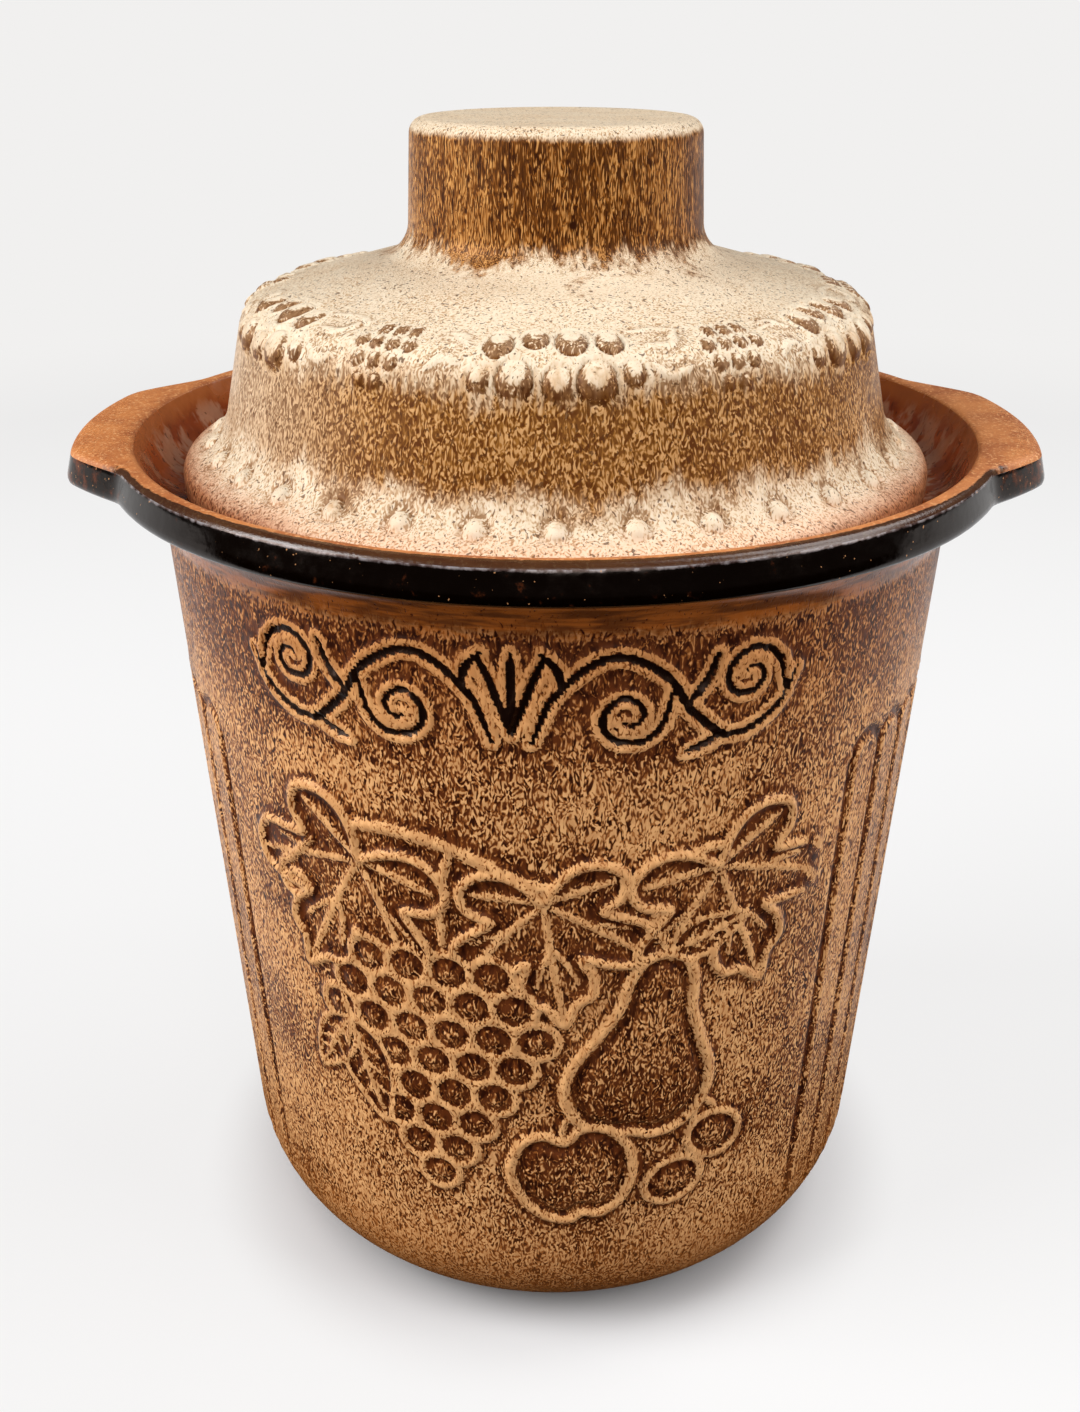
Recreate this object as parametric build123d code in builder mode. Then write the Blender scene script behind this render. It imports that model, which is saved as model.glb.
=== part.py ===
"""Rumtopf: a stoneware fruit crock with two lug ears on its flared rim, under a domed lid.

Millimetres, +Z up. The origin lies on the table, in the middle of the foot ring. The front of the
crock faces -Y, and its ears reach out along +X and -X. The lid rests on a ledge inside the rim.
"""

import os
from math import atan2, cos, hypot, pi, radians, sin, tan

from build123d import *

# Crock: a coned wall on a wide rounding, with a foot ring under it
wall_draft = 12.8
wall_thickness = 7.0
base_round = 35.0
floor_thickness = 8.5
inner_round = 24.0
foot_ring_width = 7.0
foot_recess = 2.0
foot_edge_round = 1.0

# Rim: a band that leans out towards its lower edge, over a cove
rim_height = 228.0
rim_radius = 108.7
rim_overhang = 9.8
band_height = 9.0
band_lean = 2.4
band_edge_round = 2.2
lip_width = 4.4
lip_edge_round = 1.4
cove_round = 9.0

# Bowl inside the rim, with the ledge that carries the lid
bowl_depth = 14.0
bowl_flare = 6.8
bowl_round = 8.0
seat_width = 9.5
mouth_depth = 8.0
mouth_edge_round = 1.5
throat_depth = 12.0
throat_round = 10.0

# Ears: lugs on the rim, cast in one with it
ear_length = 9.8
ear_face_half_angle = 14.5
ear_root_half_angle = 24.0
ear_tip_round = 5.0
ear_root_round = 16.0

# Reeded panels below the ears, turned a little with the relief on the front
reed_count = 10
reed_pitch_angle = 7.7
reed_panel_turn = -5.4
reed_arch_height = 164.0
reed_foot_height = 24.0
groove_radius = 1.4
groove_depth = 0.9

# Lid: outline inwards from the bowl's foot, as rises above the ledge that it rests on
lid_gap = 4.5
lid_edge_rise = 8.0
flare_width = 10.6
waist_rise = 14.5
dome_draft = 6.7
shoulder_rise = 45.5
knob_radius = 34.4
knob_draft = 1.3
knob_foot_rise = 56.5
knob_rise = 86.0
lid_foot_round = 2.5
lid_edge_round = 4.0
waist_round = 12.0
shoulder_round = 9.0
knob_foot_round = 8.0
knob_edge_round = 3.5

# Lid: shell and the flange that keeps it in the mouth
lid_wall = 5.5
inner_lid_round = 5.0
flange_clearance = 0.8
flange_width = 5.0
flange_depth = 10.0
flange_edge_round = 1.5

# How far a cut runs past the face that it opens
overrun = 5.0

band_bottom = rim_height - band_height
ledge_height = rim_height - bowl_depth
floor_height = foot_recess + floor_thickness
lip_inner_radius = rim_radius - lip_width
wall_top_radius = rim_radius - rim_overhang
wall_foot_radius = wall_top_radius - wall_draft
bowl_foot_radius = lip_inner_radius - bowl_flare
mouth_radius = bowl_foot_radius - seat_width
wall_lean = atan2(wall_top_radius - wall_foot_radius, band_bottom)
foot_ring_radius = wall_foot_radius - base_round * tan((pi / 2 - wall_lean) / 2)


def wall_radius(height):
    """Outer radius of the coned wall at a height above the table."""
    return wall_foot_radius + (wall_top_radius - wall_foot_radius) * height / band_bottom


def wall_plane(angle, height, lift):
    """Plane laid on the wall at an angle and height, raised by lift, with its Y running up the wall."""
    outward = Vector(cos(radians(angle)), sin(radians(angle)), 0)
    upward = outward * sin(wall_lean) + Vector(0, 0, 1) * cos(wall_lean)
    normal = outward * cos(wall_lean) - Vector(0, 0, 1) * sin(wall_lean)
    origin = outward * wall_radius(height) + Vector(0, 0, height) + normal * lift
    return Plane(origin, x_dir=upward.cross(normal), z_dir=normal)


def turning_face(corners, rounds):
    """Face between the turning axis and an outline from axis to axis, with its corners rounded."""
    with BuildSketch(Plane.XZ) as face:
        with BuildLine():
            FilletPolyline(*corners, radius=rounds)
            Line(corners[-1], corners[0])
        make_face()
    return face.sketch


def around(radius, angle):
    """Point at a radius and an angle in degrees, in the plan of the pot."""
    return (radius * cos(radians(angle)), radius * sin(radians(angle)))


def rim_plan(height, lean):
    """Plan of the rim and its two ears at a height, grown outwards by lean."""
    root_radius = rim_radius + lean
    face_radius = root_radius + ear_length
    with BuildSketch(Plane.XY.offset(height)) as plan:
        Circle(root_radius)
        for side_angle in (0, 180):
            with BuildLine():
                ThreePointArc(
                    around(face_radius, side_angle - ear_face_half_angle),
                    around(face_radius, side_angle),
                    around(face_radius, side_angle + ear_face_half_angle),
                )
                Polyline(
                    around(face_radius, side_angle + ear_face_half_angle),
                    around(root_radius, side_angle + ear_root_half_angle),
                    (0, 0),
                    around(root_radius, side_angle - ear_root_half_angle),
                    around(face_radius, side_angle - ear_face_half_angle),
                )
            make_face()
        middle_radius = (root_radius + face_radius) / 2
        roots = plan.vertices().filter_by(lambda point: hypot(point.X, point.Y) < middle_radius)
        fillet(roots, ear_root_round)
        tips = plan.vertices().filter_by(lambda point: hypot(point.X, point.Y) > middle_radius)
        fillet(tips, ear_tip_round)
    return plan.sketch


# Crock
with BuildPart() as crock:
    # Turned body, solid, up to the underside of the band
    foot_inner_radius = foot_ring_radius - foot_ring_width
    revolve(
        turning_face(
            [
                (0, foot_recess),
                (foot_inner_radius, foot_recess),
                (foot_inner_radius, 0),
                (wall_foot_radius, 0),
                (wall_top_radius, band_bottom),
                (0, band_bottom),
            ],
            [foot_edge_round, foot_edge_round, base_round, 0],
        ),
        axis=Axis.Z,
    )

    # Band and ears in one, lofted from the wider lower plan to the lip
    loft([rim_plan(band_bottom, band_lean), rim_plan(rim_height, 0)], ruled=True)
    underside_edges = crock.edges().filter_by_position(Axis.Z, band_bottom, band_bottom)
    fillet(
        underside_edges.filter_by(lambda edge: hypot((edge @ 0).X, (edge @ 0).Y) > rim_radius),
        band_edge_round,
    )
    fillet(crock.edges().filter_by_position(Axis.Z, rim_height, rim_height), lip_edge_round)
    underside_edges = crock.edges().filter_by_position(Axis.Z, band_bottom, band_bottom)
    wall_top = underside_edges.sort_by(lambda edge: hypot((edge @ 0).X, (edge @ 0).Y))[0]
    fillet(wall_top, cove_round)

    # Inside, the ledge and the bowl of the rim
    throat_height = ledge_height - mouth_depth - throat_depth
    revolve(
        turning_face(
            [
                (0, floor_height),
                (wall_radius(floor_height) - wall_thickness, floor_height),
                (wall_radius(throat_height) - wall_thickness, throat_height),
                (mouth_radius, ledge_height - mouth_depth),
                (mouth_radius, ledge_height),
                (bowl_foot_radius, ledge_height),
                (lip_inner_radius, rim_height),
                (lip_inner_radius, rim_height + overrun),
                (0, rim_height + overrun),
            ],
            [inner_round, throat_round, throat_round, mouth_edge_round, bowl_round, 0, 0],
        ),
        axis=Axis.Z,
        mode=Mode.SUBTRACT,
    )
    lip_edges = crock.edges().filter_by_position(Axis.Z, rim_height, rim_height)
    lip_inner_edge = lip_edges.sort_by(lambda edge: hypot((edge @ 0).X, (edge @ 0).Y))[0]
    fillet(lip_inner_edge, lip_edge_round)

    # Grooves between the reeds of the two side panels, closed by an arch over each reed
    panel_half_angle = reed_count * reed_pitch_angle / 2
    groove_lift = groove_radius - groove_depth
    reed_half_width = wall_radius(reed_arch_height) * sin(radians(reed_pitch_angle / 2))
    for panel_angle in (reed_panel_turn, reed_panel_turn + 180):
        first_angle = panel_angle - panel_half_angle
        for index in range(reed_count + 1):
            with Locations(wall_plane(first_angle + index * reed_pitch_angle, reed_arch_height, groove_lift)):
                Cylinder(
                    groove_radius,
                    reed_arch_height - reed_foot_height,
                    rotation=(90, 0, 0),
                    align=(Align.CENTER, Align.CENTER, Align.MIN),
                    mode=Mode.SUBTRACT,
                )
        for index in range(reed_count):
            reed_angle = first_angle + (index + 0.5) * reed_pitch_angle
            with Locations(wall_plane(reed_angle, reed_arch_height, groove_lift)):
                Torus(
                    reed_half_width,
                    groove_radius,
                    major_angle=180,
                    align=None,
                    mode=Mode.SUBTRACT,
                )

# Lid
with BuildPart() as lid:
    # Turned outer form, solid, with the flange below the ledge
    flange_radius = mouth_radius - flange_clearance
    flange_bottom = ledge_height - flange_depth
    lid_radius = bowl_foot_radius - lid_gap
    waist_radius = lid_radius - flare_width
    shoulder_radius = waist_radius - dome_draft
    knob_foot_radius = knob_radius + knob_draft
    knob_top = ledge_height + knob_rise
    revolve(
        turning_face(
            [
                (0, flange_bottom),
                (flange_radius, flange_bottom),
                (flange_radius, ledge_height),
                (lid_radius, ledge_height),
                (lid_radius, ledge_height + lid_edge_rise),
                (waist_radius, ledge_height + waist_rise),
                (shoulder_radius, ledge_height + shoulder_rise),
                (knob_foot_radius, ledge_height + knob_foot_rise),
                (knob_radius, knob_top),
                (0, knob_top),
            ],
            [
                flange_edge_round,
                0,
                lid_foot_round,
                lid_edge_round,
                waist_round,
                shoulder_round,
                knob_foot_round,
                knob_edge_round,
            ],
        ),
        axis=Axis.Z,
    )

    # Hollow under the dome and up into the knob
    revolve(
        turning_face(
            [
                (0, flange_bottom - overrun),
                (flange_radius - flange_width, flange_bottom - overrun),
                (flange_radius - flange_width, ledge_height),
                (waist_radius - lid_wall, ledge_height + waist_rise),
                (shoulder_radius - lid_wall, ledge_height + shoulder_rise - lid_wall),
                (knob_foot_radius - lid_wall, ledge_height + knob_foot_rise - lid_wall),
                (knob_radius - lid_wall, knob_top - lid_wall),
                (0, knob_top - lid_wall),
            ],
            [0] + [inner_lid_round] * 5,
        ),
        axis=Axis.Z,
        mode=Mode.SUBTRACT,
    )

crock.part.label = "crock"
lid.part.label = "lid"

os.makedirs("parts", exist_ok=True)
export_step(crock.part, "parts/crock.step")
export_step(lid.part, "parts/lid.step")
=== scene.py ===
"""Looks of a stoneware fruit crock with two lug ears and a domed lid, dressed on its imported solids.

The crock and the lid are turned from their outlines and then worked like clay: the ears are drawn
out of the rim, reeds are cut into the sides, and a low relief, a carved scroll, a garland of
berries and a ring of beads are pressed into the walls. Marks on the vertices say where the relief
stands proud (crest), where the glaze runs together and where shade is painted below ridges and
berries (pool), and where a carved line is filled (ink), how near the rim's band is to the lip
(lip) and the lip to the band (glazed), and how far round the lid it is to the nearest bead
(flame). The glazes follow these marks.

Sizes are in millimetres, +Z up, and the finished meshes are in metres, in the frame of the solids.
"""

import logging
import math
from collections.abc import Callable, Iterable, Sequence
from dataclasses import dataclass, field
from enum import Enum, IntEnum

import bmesh
import bpy
import numpy as np
from mathutils import Matrix, Vector


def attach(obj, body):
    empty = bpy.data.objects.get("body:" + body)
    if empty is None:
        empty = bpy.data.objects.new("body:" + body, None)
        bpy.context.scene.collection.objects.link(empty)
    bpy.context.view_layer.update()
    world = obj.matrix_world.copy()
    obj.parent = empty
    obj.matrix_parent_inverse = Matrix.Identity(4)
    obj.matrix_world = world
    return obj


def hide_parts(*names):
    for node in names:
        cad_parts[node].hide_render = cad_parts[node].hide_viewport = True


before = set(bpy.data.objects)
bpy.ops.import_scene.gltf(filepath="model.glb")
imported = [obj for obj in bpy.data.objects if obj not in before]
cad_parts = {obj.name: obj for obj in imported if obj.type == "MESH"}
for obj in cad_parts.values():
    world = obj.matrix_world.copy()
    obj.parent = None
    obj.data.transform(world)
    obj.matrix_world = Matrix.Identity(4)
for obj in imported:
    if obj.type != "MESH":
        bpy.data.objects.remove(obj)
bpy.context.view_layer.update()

MM = 0.001
LEVEL = 1e-4  # rise in mm under which an edge counts as level
Array = np.ndarray
Socket = bpy.types.NodeSocket
Point = tuple[float, float]

log = logging.getLogger("crock")


def tint(code: str) -> tuple[float, float, float, float]:
    """Scene colour of a hex code, such as "c89464"."""
    parts = [int(code[i : i + 2], 16) / 255 for i in (0, 2, 4)]
    linear = [c / 12.92 if c <= 0.04045 else ((c + 0.055) / 1.055) ** 2.4 for c in parts]
    return (*linear, 1.0)


def ease(low: float, high: float, values: Array) -> Array:
    """Smooth step of the values from 0 at low to 1 at high; it falls where high is under low."""
    share = np.clip((values - low) / (high - low), 0.0, 1.0)
    return share * share * (3.0 - 2.0 * share)


def hump(distance: Array, width: float | Array) -> Array:
    """Bell curve: 1 where the distance is 0, and 1/e where it is the width."""
    return np.exp(-((distance / width) ** 2))


# Lines and marks of the relief


def smooth_line(points: Sequence[Point], steps: int = 8, closed: bool = False) -> Array:
    """Curve through points, with even tangents at each of them.

    Args:
        points: Places that the curve goes through, in mm.
        steps: Short runs between one place and the next.
        closed: Whether the last place joins the first.

    Returns:
        The points of the curve, one row each.
    """
    knots = np.array(points, dtype=float)
    if closed:
        knots = np.vstack([knots[-1], knots, knots[:2]])
    else:
        knots = np.vstack([2 * knots[0] - knots[1], knots, 2 * knots[-1] - knots[-2]])
    t = np.linspace(0, 1, steps, endpoint=False)[:, None]
    runs = [
        0.5 * (2 * b + (c - a) * t + (2 * a - 5 * b + 4 * c - d) * t**2 + (3 * b - a - 3 * c + d) * t**3)
        for a, b, c, d in zip(knots, knots[1:], knots[2:], knots[3:])
    ]
    line = np.vstack(runs)
    return line if closed else np.vstack([line, knots[-2]])


def ring_line(centre: Point, across: float, upright: float, turn: float = 0.0, steps: int = 28) -> Array:
    """Closed oval about a centre, with its half width, half height and turn in degrees."""
    angles = np.linspace(0, 2 * math.pi, steps, endpoint=False)
    return placed(np.column_stack([across * np.cos(angles), upright * np.sin(angles)]), centre, turn)


def placed(points: Array | Sequence[Point], at: Point, turn: float = 0.0, size: float = 1.0) -> Array:
    """Points scaled by size, turned by degrees and moved to a place on the sheet."""
    c, s = math.cos(math.radians(turn)), math.sin(math.radians(turn))
    return size * np.asarray(points, dtype=float) @ np.array([[c, s], [-s, c]]) + np.array(at)


def curl_line(centre: Point, outer: float, inner: float, start: float, sweep: float) -> Array:
    """Spiral about a centre from its outer to its inner radius, with its angles in degrees."""
    share = np.linspace(0, 1, 40)
    angles = np.radians(start + sweep * share)
    radii = outer + (inner - outer) * share**0.85
    return np.array(centre) + np.column_stack([radii * np.cos(angles), radii * np.sin(angles)])


def line_distance(u: Array, v: Array, line: Array, closed: bool = False) -> tuple[Array, Array]:
    """Distance from points of the sheet to a line.

    Args:
        u: Places of the points to the right, in mm.
        v: Places of the points upwards, in mm.
        line: Points of the line, one row each.
        closed: Whether the last point of the line joins the first.

    Returns:
        The distance of each point, and the share of the line's length where it is nearest.
    """
    ends = np.vstack([line, line[:1]]) if closed else line
    runs = np.hypot(*(ends[1:] - ends[:-1]).T)
    starts = np.concatenate([[0], np.cumsum(runs)])
    best = np.full(u.shape, 1e9)
    share = np.zeros(u.shape)
    for (au, av), (bu, bv), run, start in zip(ends, ends[1:], runs, starts):
        if run < 1e-9:
            continue
        t = np.clip(((u - au) * (bu - au) + (v - av) * (bv - av)) / run**2, 0, 1)
        gap = np.hypot(u - au - t * (bu - au), v - av - t * (bv - av))
        nearer = gap < best
        best = np.where(nearer, gap, best)
        share = np.where(nearer, (start + t * run) / starts[-1], share)
    return best, share


def inside_line(u: Array, v: Array, line: Array) -> Array:
    """Whether each point of the sheet lies inside a closed line."""
    inside = np.zeros(u.shape, dtype=bool)
    for (au, av), (bu, bv) in zip(line, np.roll(line, -1, axis=0)):
        crosses = (av > v) != (bv > v)
        if abs(bv - av) > 1e-12:
            inside ^= crosses & (u < (bu - au) * (v - av) / (bv - av) + au)
    return inside


@dataclass
class Relief:
    """What the marks make of the points of a sheet: height in mm, and crest, pool and ink from 0 to 1."""

    u: Array
    v: Array
    height: Array = field(init=False)
    crest: Array = field(init=False)
    pool: Array = field(init=False)
    ink: Array = field(init=False)

    def __post_init__(self) -> None:
        """Start from the bare sheet."""
        self.height, self.crest, self.pool, self.ink = (np.zeros(self.u.shape) for _ in range(4))

    def near(self, line: Array, margin: float) -> Array:
        """Indices of the points within a margin of a line's box."""
        (left, low), (right, high) = line.min(axis=0) - margin, line.max(axis=0) + margin
        return np.flatnonzero((self.u > left) & (self.u < right) & (self.v > low) & (self.v < high))


@dataclass(frozen=True)
class Rib:
    """Raised line that tapers to its ends, with a darker hem beside it of pooled glaze and painted shade."""

    line: Array
    half_width: float = 1.4
    height: float = 1.3
    taper: float = 0.55
    hem: float = 0.8

    def press(self, relief: Relief) -> None:
        """Raise the line out of the sheet."""
        near = relief.near(self.line, 6 * self.half_width)
        gap, share = line_distance(relief.u[near], relief.v[near], self.line)
        width = self.half_width * (1 - self.taper * (2 * np.abs(share - 0.5)) ** 2.5)
        ridge = hump(gap, width)
        relief.height[near] = np.maximum(relief.height[near], self.height * ridge)
        relief.crest[near] = np.maximum(relief.crest[near], ease(0.2, 0.6, ridge))
        hem = self.hem * hump(gap - 1.9 * width, 0.9)
        relief.pool[near] = np.maximum(relief.pool[near], hem)


@dataclass(frozen=True)
class Body:
    """Closed form, such as a fruit: a raised outline round a sunk field that swells to a dome."""

    line: Array
    dome: float = 1.2
    swell: float = 9.0
    sink: float = 0.9
    rim: float = 1.4
    half_width: float = 1.45
    shade: float = 0.75

    def press(self, relief: Relief) -> None:
        """Cover what lies behind the form, and raise its outline and its dome."""
        near = relief.near(self.line, 6 * self.half_width)
        u, v = relief.u[near], relief.v[near]
        gap, _ = line_distance(u, v, self.line, closed=True)
        higher, _ = line_distance(u, v + 1.0, self.line, closed=True)
        inside = inside_line(u, v, self.line)
        depth = np.where(inside, gap, 0.0)
        cover = inside * ease(0.0, 0.8, gap)
        share = np.clip(depth / self.swell, 0, 1)
        sunk = self.dome * np.sqrt(1 - (1 - share) ** 2) - self.sink * hump(depth - 2.2, 1.5)
        ridge = hump(gap, self.half_width)
        height = relief.height[near] * (1 - cover) + sunk * cover
        relief.height[near] = np.maximum(height, self.rim * ridge)
        relief.crest[near] = np.maximum(relief.crest[near] * (1 - cover), ease(0.2, 0.6, ridge))
        # Inside, the field darkens near its outline and most just below a ridge above it, and outside a thin
        # dark ring follows the outline: pooled glaze, and painted shade as from light above.
        deep = hump(gap - 1.8 * self.half_width, 1.1)
        sheltered = deep * (0.35 + 0.65 * ease(-0.5, 0.7, gap - higher))
        hem = np.where(inside, self.shade * (0.8 - 0.45 * share) + 0.75 * sheltered, 0.7 * deep)
        relief.pool[near] = np.maximum(relief.pool[near] * (1 - cover), hem)


@dataclass(frozen=True)
class Carving:
    """Line cut into the sheet and filled with dark glaze, between two raised and bare borders."""

    line: Array
    half_width: float = 0.8
    depth: float = 0.9
    border: float = 1.5
    border_height: float = 0.6
    taper: float = 0.6

    def press(self, relief: Relief) -> None:
        """Cut the line, with the borders pushed up beside it."""
        near = relief.near(self.line, self.half_width + self.border + 9)
        gap, share = line_distance(relief.u[near], relief.v[near], self.line)
        width = self.half_width * (1 - self.taper * (2 * np.abs(share - 0.5)) ** 4)
        cut = ease(1.25, 0.6, gap / width)
        over = (gap - width) / self.border
        border = ease(1.25, 0.7, over) * (1 - cut)
        old = np.minimum(relief.height[near], self.border_height)
        relief.height[near] = np.maximum(old, self.border_height * border) * (1 - cut) - self.depth * cut
        relief.ink[near] = np.maximum(relief.ink[near], ease(0.35, 0.75, cut))
        relief.crest[near] = np.maximum(relief.crest[near], border) * (1 - cut)
        shade = 0.6 * ease(6.0, 2.0, gap - width) * (1 - border)
        relief.pool[near] = np.maximum(relief.pool[near] * (1 - border), shade)


@dataclass(frozen=True)
class Berry:
    """Small dome in a raised light ring, with a light cap set high and a dark belly below it: thin and pooled
    glaze, with a painted highlight on the cap and painted shade under it.
    """

    centre: Point
    radius: float
    height: float = 0.8
    ring: float = 0.8
    cap: float = 0.55

    def press(self, relief: Relief) -> None:
        """Cover what lies behind the berry and raise its dome."""
        reach = self.radius + 3 * self.ring
        u, v = relief.u - self.centre[0], relief.v - self.centre[1]
        near = np.flatnonzero((np.abs(u) < reach) & (np.abs(v) < reach))
        u, v = u[near], v[near]
        gap = np.hypot(u, v)
        cover = ease(self.radius + 1.6 * self.ring, self.radius + 0.8 * self.ring, gap)
        dome = self.height * np.sqrt(np.clip(1 - (gap / self.radius) ** 2, 0, 1))
        groove = hump(gap - self.radius, 0.4 * self.ring)
        ring = hump(gap - self.radius - 0.9 * self.ring, 0.5 * self.ring)
        height = dome + self.height * (0.45 * ring - 0.35 * groove)
        # The cap is centred above the middle of the dome: thin glaze, and a painted highlight as from light
        # above.
        cap = np.hypot(u, v - 0.4 * self.radius) / self.radius
        crest = np.maximum(ease(self.cap + 0.25, self.cap, cap), ring)
        within = ease(self.radius + 0.1 * self.ring, self.radius - 0.2, gap)
        # The belly below the cap, and the groove on its lower side only, darken: pooled glaze, and painted
        # shade under the berry.
        belly = ease(self.cap, self.cap + 0.3, cap) * within
        outline = groove * ease(0.5 * self.radius, -0.3 * self.radius, v)
        pool = np.maximum(0.85 * belly, 1.2 * outline)
        for layer, values in ((relief.height, height), (relief.crest, crest), (relief.pool, pool)):
            layer[near] = layer[near] * (1 - cover) + values * cover


Mark = Rib | Body | Carving | Berry


def press_all(marks: Iterable[Mark], u: Array, v: Array) -> Relief:
    """Relief of the points of a sheet under all the marks, the last ones in front."""
    relief = Relief(u, v)
    for mark in marks:
        mark.press(relief)
    return relief


def mirrored(points: Sequence[Point]) -> list[Point]:
    """Half an outline, from top to bottom on the left, made whole by its mirror image."""
    return list(points) + [(-u, v) for u, v in reversed(points[1:-1])]


VINE_LEAF = mirrored(
    [(0, 1.0), (-0.09, 0.86), (-0.2, 0.8), (-0.22, 0.66), (-0.17, 0.52), (-0.34, 0.6), (-0.5, 0.62),
     (-0.6, 0.5), (-0.58, 0.36), (-0.44, 0.27), (-0.34, 0.2), (-0.46, 0.12), (-0.49, -0.02),
     (-0.37, -0.12), (-0.22, -0.12), (-0.09, -0.03), (0, 0.08)]
)  # fmt: skip
MAIN_VEINS = 5
VINE_VEINS = (
    [(0, 0.08), (0.01, 0.45), (0, 0.93)],
    [(0, 0.1), (-0.26, 0.3), (-0.52, 0.54)],
    [(0, 0.1), (0.26, 0.3), (0.52, 0.54)],
    [(0, 0.09), (-0.2, 0.04), (-0.42, 0.0)],
    [(0, 0.09), (0.2, 0.04), (0.42, 0.0)],
    [(0, 0.42), (-0.08, 0.56), (-0.13, 0.7)],
    [(0, 0.42), (0.08, 0.56), (0.13, 0.7)],
    [(-0.24, 0.28), (-0.34, 0.3), (-0.48, 0.36)],
    [(0.24, 0.28), (0.34, 0.3), (0.48, 0.36)],
)
PEAR = mirrored(
    [(0, 1.0), (-0.13, 0.95), (-0.2, 0.8), (-0.23, 0.6), (-0.33, 0.38), (-0.44, 0.16), (-0.46, -0.06),
     (-0.35, -0.26), (-0.16, -0.35), (0, -0.33)]
)  # fmt: skip
APPLE = mirrored(
    [(0, 0.36), (-0.16, 0.46), (-0.36, 0.4), (-0.5, 0.16), (-0.48, -0.12), (-0.34, -0.36),
     (-0.14, -0.46), (0, -0.41)]
)  # fmt: skip
SLIM_LEAF = mirrored([(0, 1.0), (-0.16, 0.74), (-0.25, 0.45), (-0.2, 0.16), (0, 0)])


def vine_leaf(at: Point, turn: float, size: float) -> list[Mark]:
    """Lobed leaf with its stalk end at a place on the sheet, its blades sunk between raised veins."""
    edge = smooth_line(placed(VINE_LEAF, at, turn, size), 5, closed=True)
    leaf: list[Mark] = [Body(edge, dome=0.1, sink=0.4, shade=0.95, half_width=1.25)]
    for index, vein in enumerate(VINE_VEINS):
        half_width = 1.0 if index < MAIN_VEINS else 0.7
        leaf.append(Rib(smooth_line(placed(vein, at, turn, size), 6), half_width, 0.7, 0.3, 0.0))
    return leaf


def slim_leaf(at: Point, turn: float, size: float) -> list[Mark]:
    """Pointed leaf with a raised rib down its middle and three pairs of veins."""
    edge = smooth_line(placed(SLIM_LEAF, at, turn, size), 5, closed=True)
    leaf: list[Mark] = [Body(edge, dome=0.1, sink=0.3, shade=0.95, half_width=0.9, rim=0.7)]
    leaf.append(Rib(placed([(0, 0.02), (0.01, 0.5), (0, 0.95)], at, turn, size), 0.8, 0.7, 0.3, 0.0))
    for height in (0.22, 0.42, 0.62):
        for side in (-1, 1):
            vein = placed([(0, height), (side * 0.16, height + 0.15)], at, turn, size)
            leaf.append(Rib(vein, 0.5, 0.45, 0.2, 0.0))
    return leaf


def stalk(points: Sequence[Point], half_width: float, height: float, taper: float) -> Rib:
    """Rib along the curve through points."""
    return Rib(smooth_line(points), half_width, height, taper)


def fruit_relief() -> list[Mark]:
    """Grapes that hang from a vine, with a pear, an apple and plums, on the front of the crock."""
    tendril = np.vstack([smooth_line([(-50, 150), (-57, 143)]), curl_line((-57, 136), 6, 1.2, 100, 520)])
    grape_rows = ((4, 122), (5, 113), (6, 104), (5, 95), (4, 86), (3, 77), (2, 68), (1, 59.5))
    grapes = [
        ring_line((-21 + 10.3 * (index - (count - 1) / 2), height), 5.3, 5.2)
        for count, height in grape_rows
        for index in range(count)
    ]
    pear = smooth_line(placed(PEAR, (30, 88), -8, 40), 6, closed=True)
    apple = smooth_line(placed(APPLE, (14, 62), 12, 31), 6, closed=True)
    plums = (ring_line((41, 56), 8.2, 6.9, 20), ring_line((52, 68), 8.2, 6.9, -30))
    return [
        stalk([(-52, 150), (-36, 158), (-16, 157), (4, 148), (22, 146), (44, 155), (56, 149)], 1.7, 1.0, 0.6),
        stalk([(-14, 156), (-17, 144), (-17, 130)], 1.3, 0.9, 0.3),
        stalk([(30, 147), (32, 138), (31, 127)], 1.3, 0.9, 0.3),
        *vine_leaf((-35, 152), 152, 44),
        *vine_leaf((6, 147), -172, 38),
        *vine_leaf((45, 153), -158, 42),
        Rib(tendril),
        *(
            Body(line, dome=1.1, swell=4.6, sink=0.45, rim=0.9, half_width=1.05, shade=0.85)
            for line in grapes
        ),
        Body(pear, dome=1.5, swell=12, shade=0.7),
        stalk([(36, 126), (35, 130), (31, 134)], 1.1, 0.9, 0.2),
        *slim_leaf((36, 128), -72, 20),
        Body(apple, dome=1.5, swell=11, shade=0.7),
        stalk([(11, 74), (11.5, 79), (15, 82)], 1.0, 0.9, 0.2),
        *(Body(line, dome=0.9, swell=6.5, sink=0.4, rim=0.8, half_width=1.1, shade=0.8) for line in plums),
        stalk([(41, 63), (45, 72), (46, 82)], 0.9, 0.8, 0.3),
        stalk([(52, 75), (50, 79), (46, 82)], 0.9, 0.8, 0.3),
        *slim_leaf((-44, 100), 196, 30),
        *slim_leaf((-45, 100), 150, 22),
        stalk([(-46, 108), (-44, 101), (-46, 92)], 1.0, 0.8, 0.3),
    ]


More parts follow.
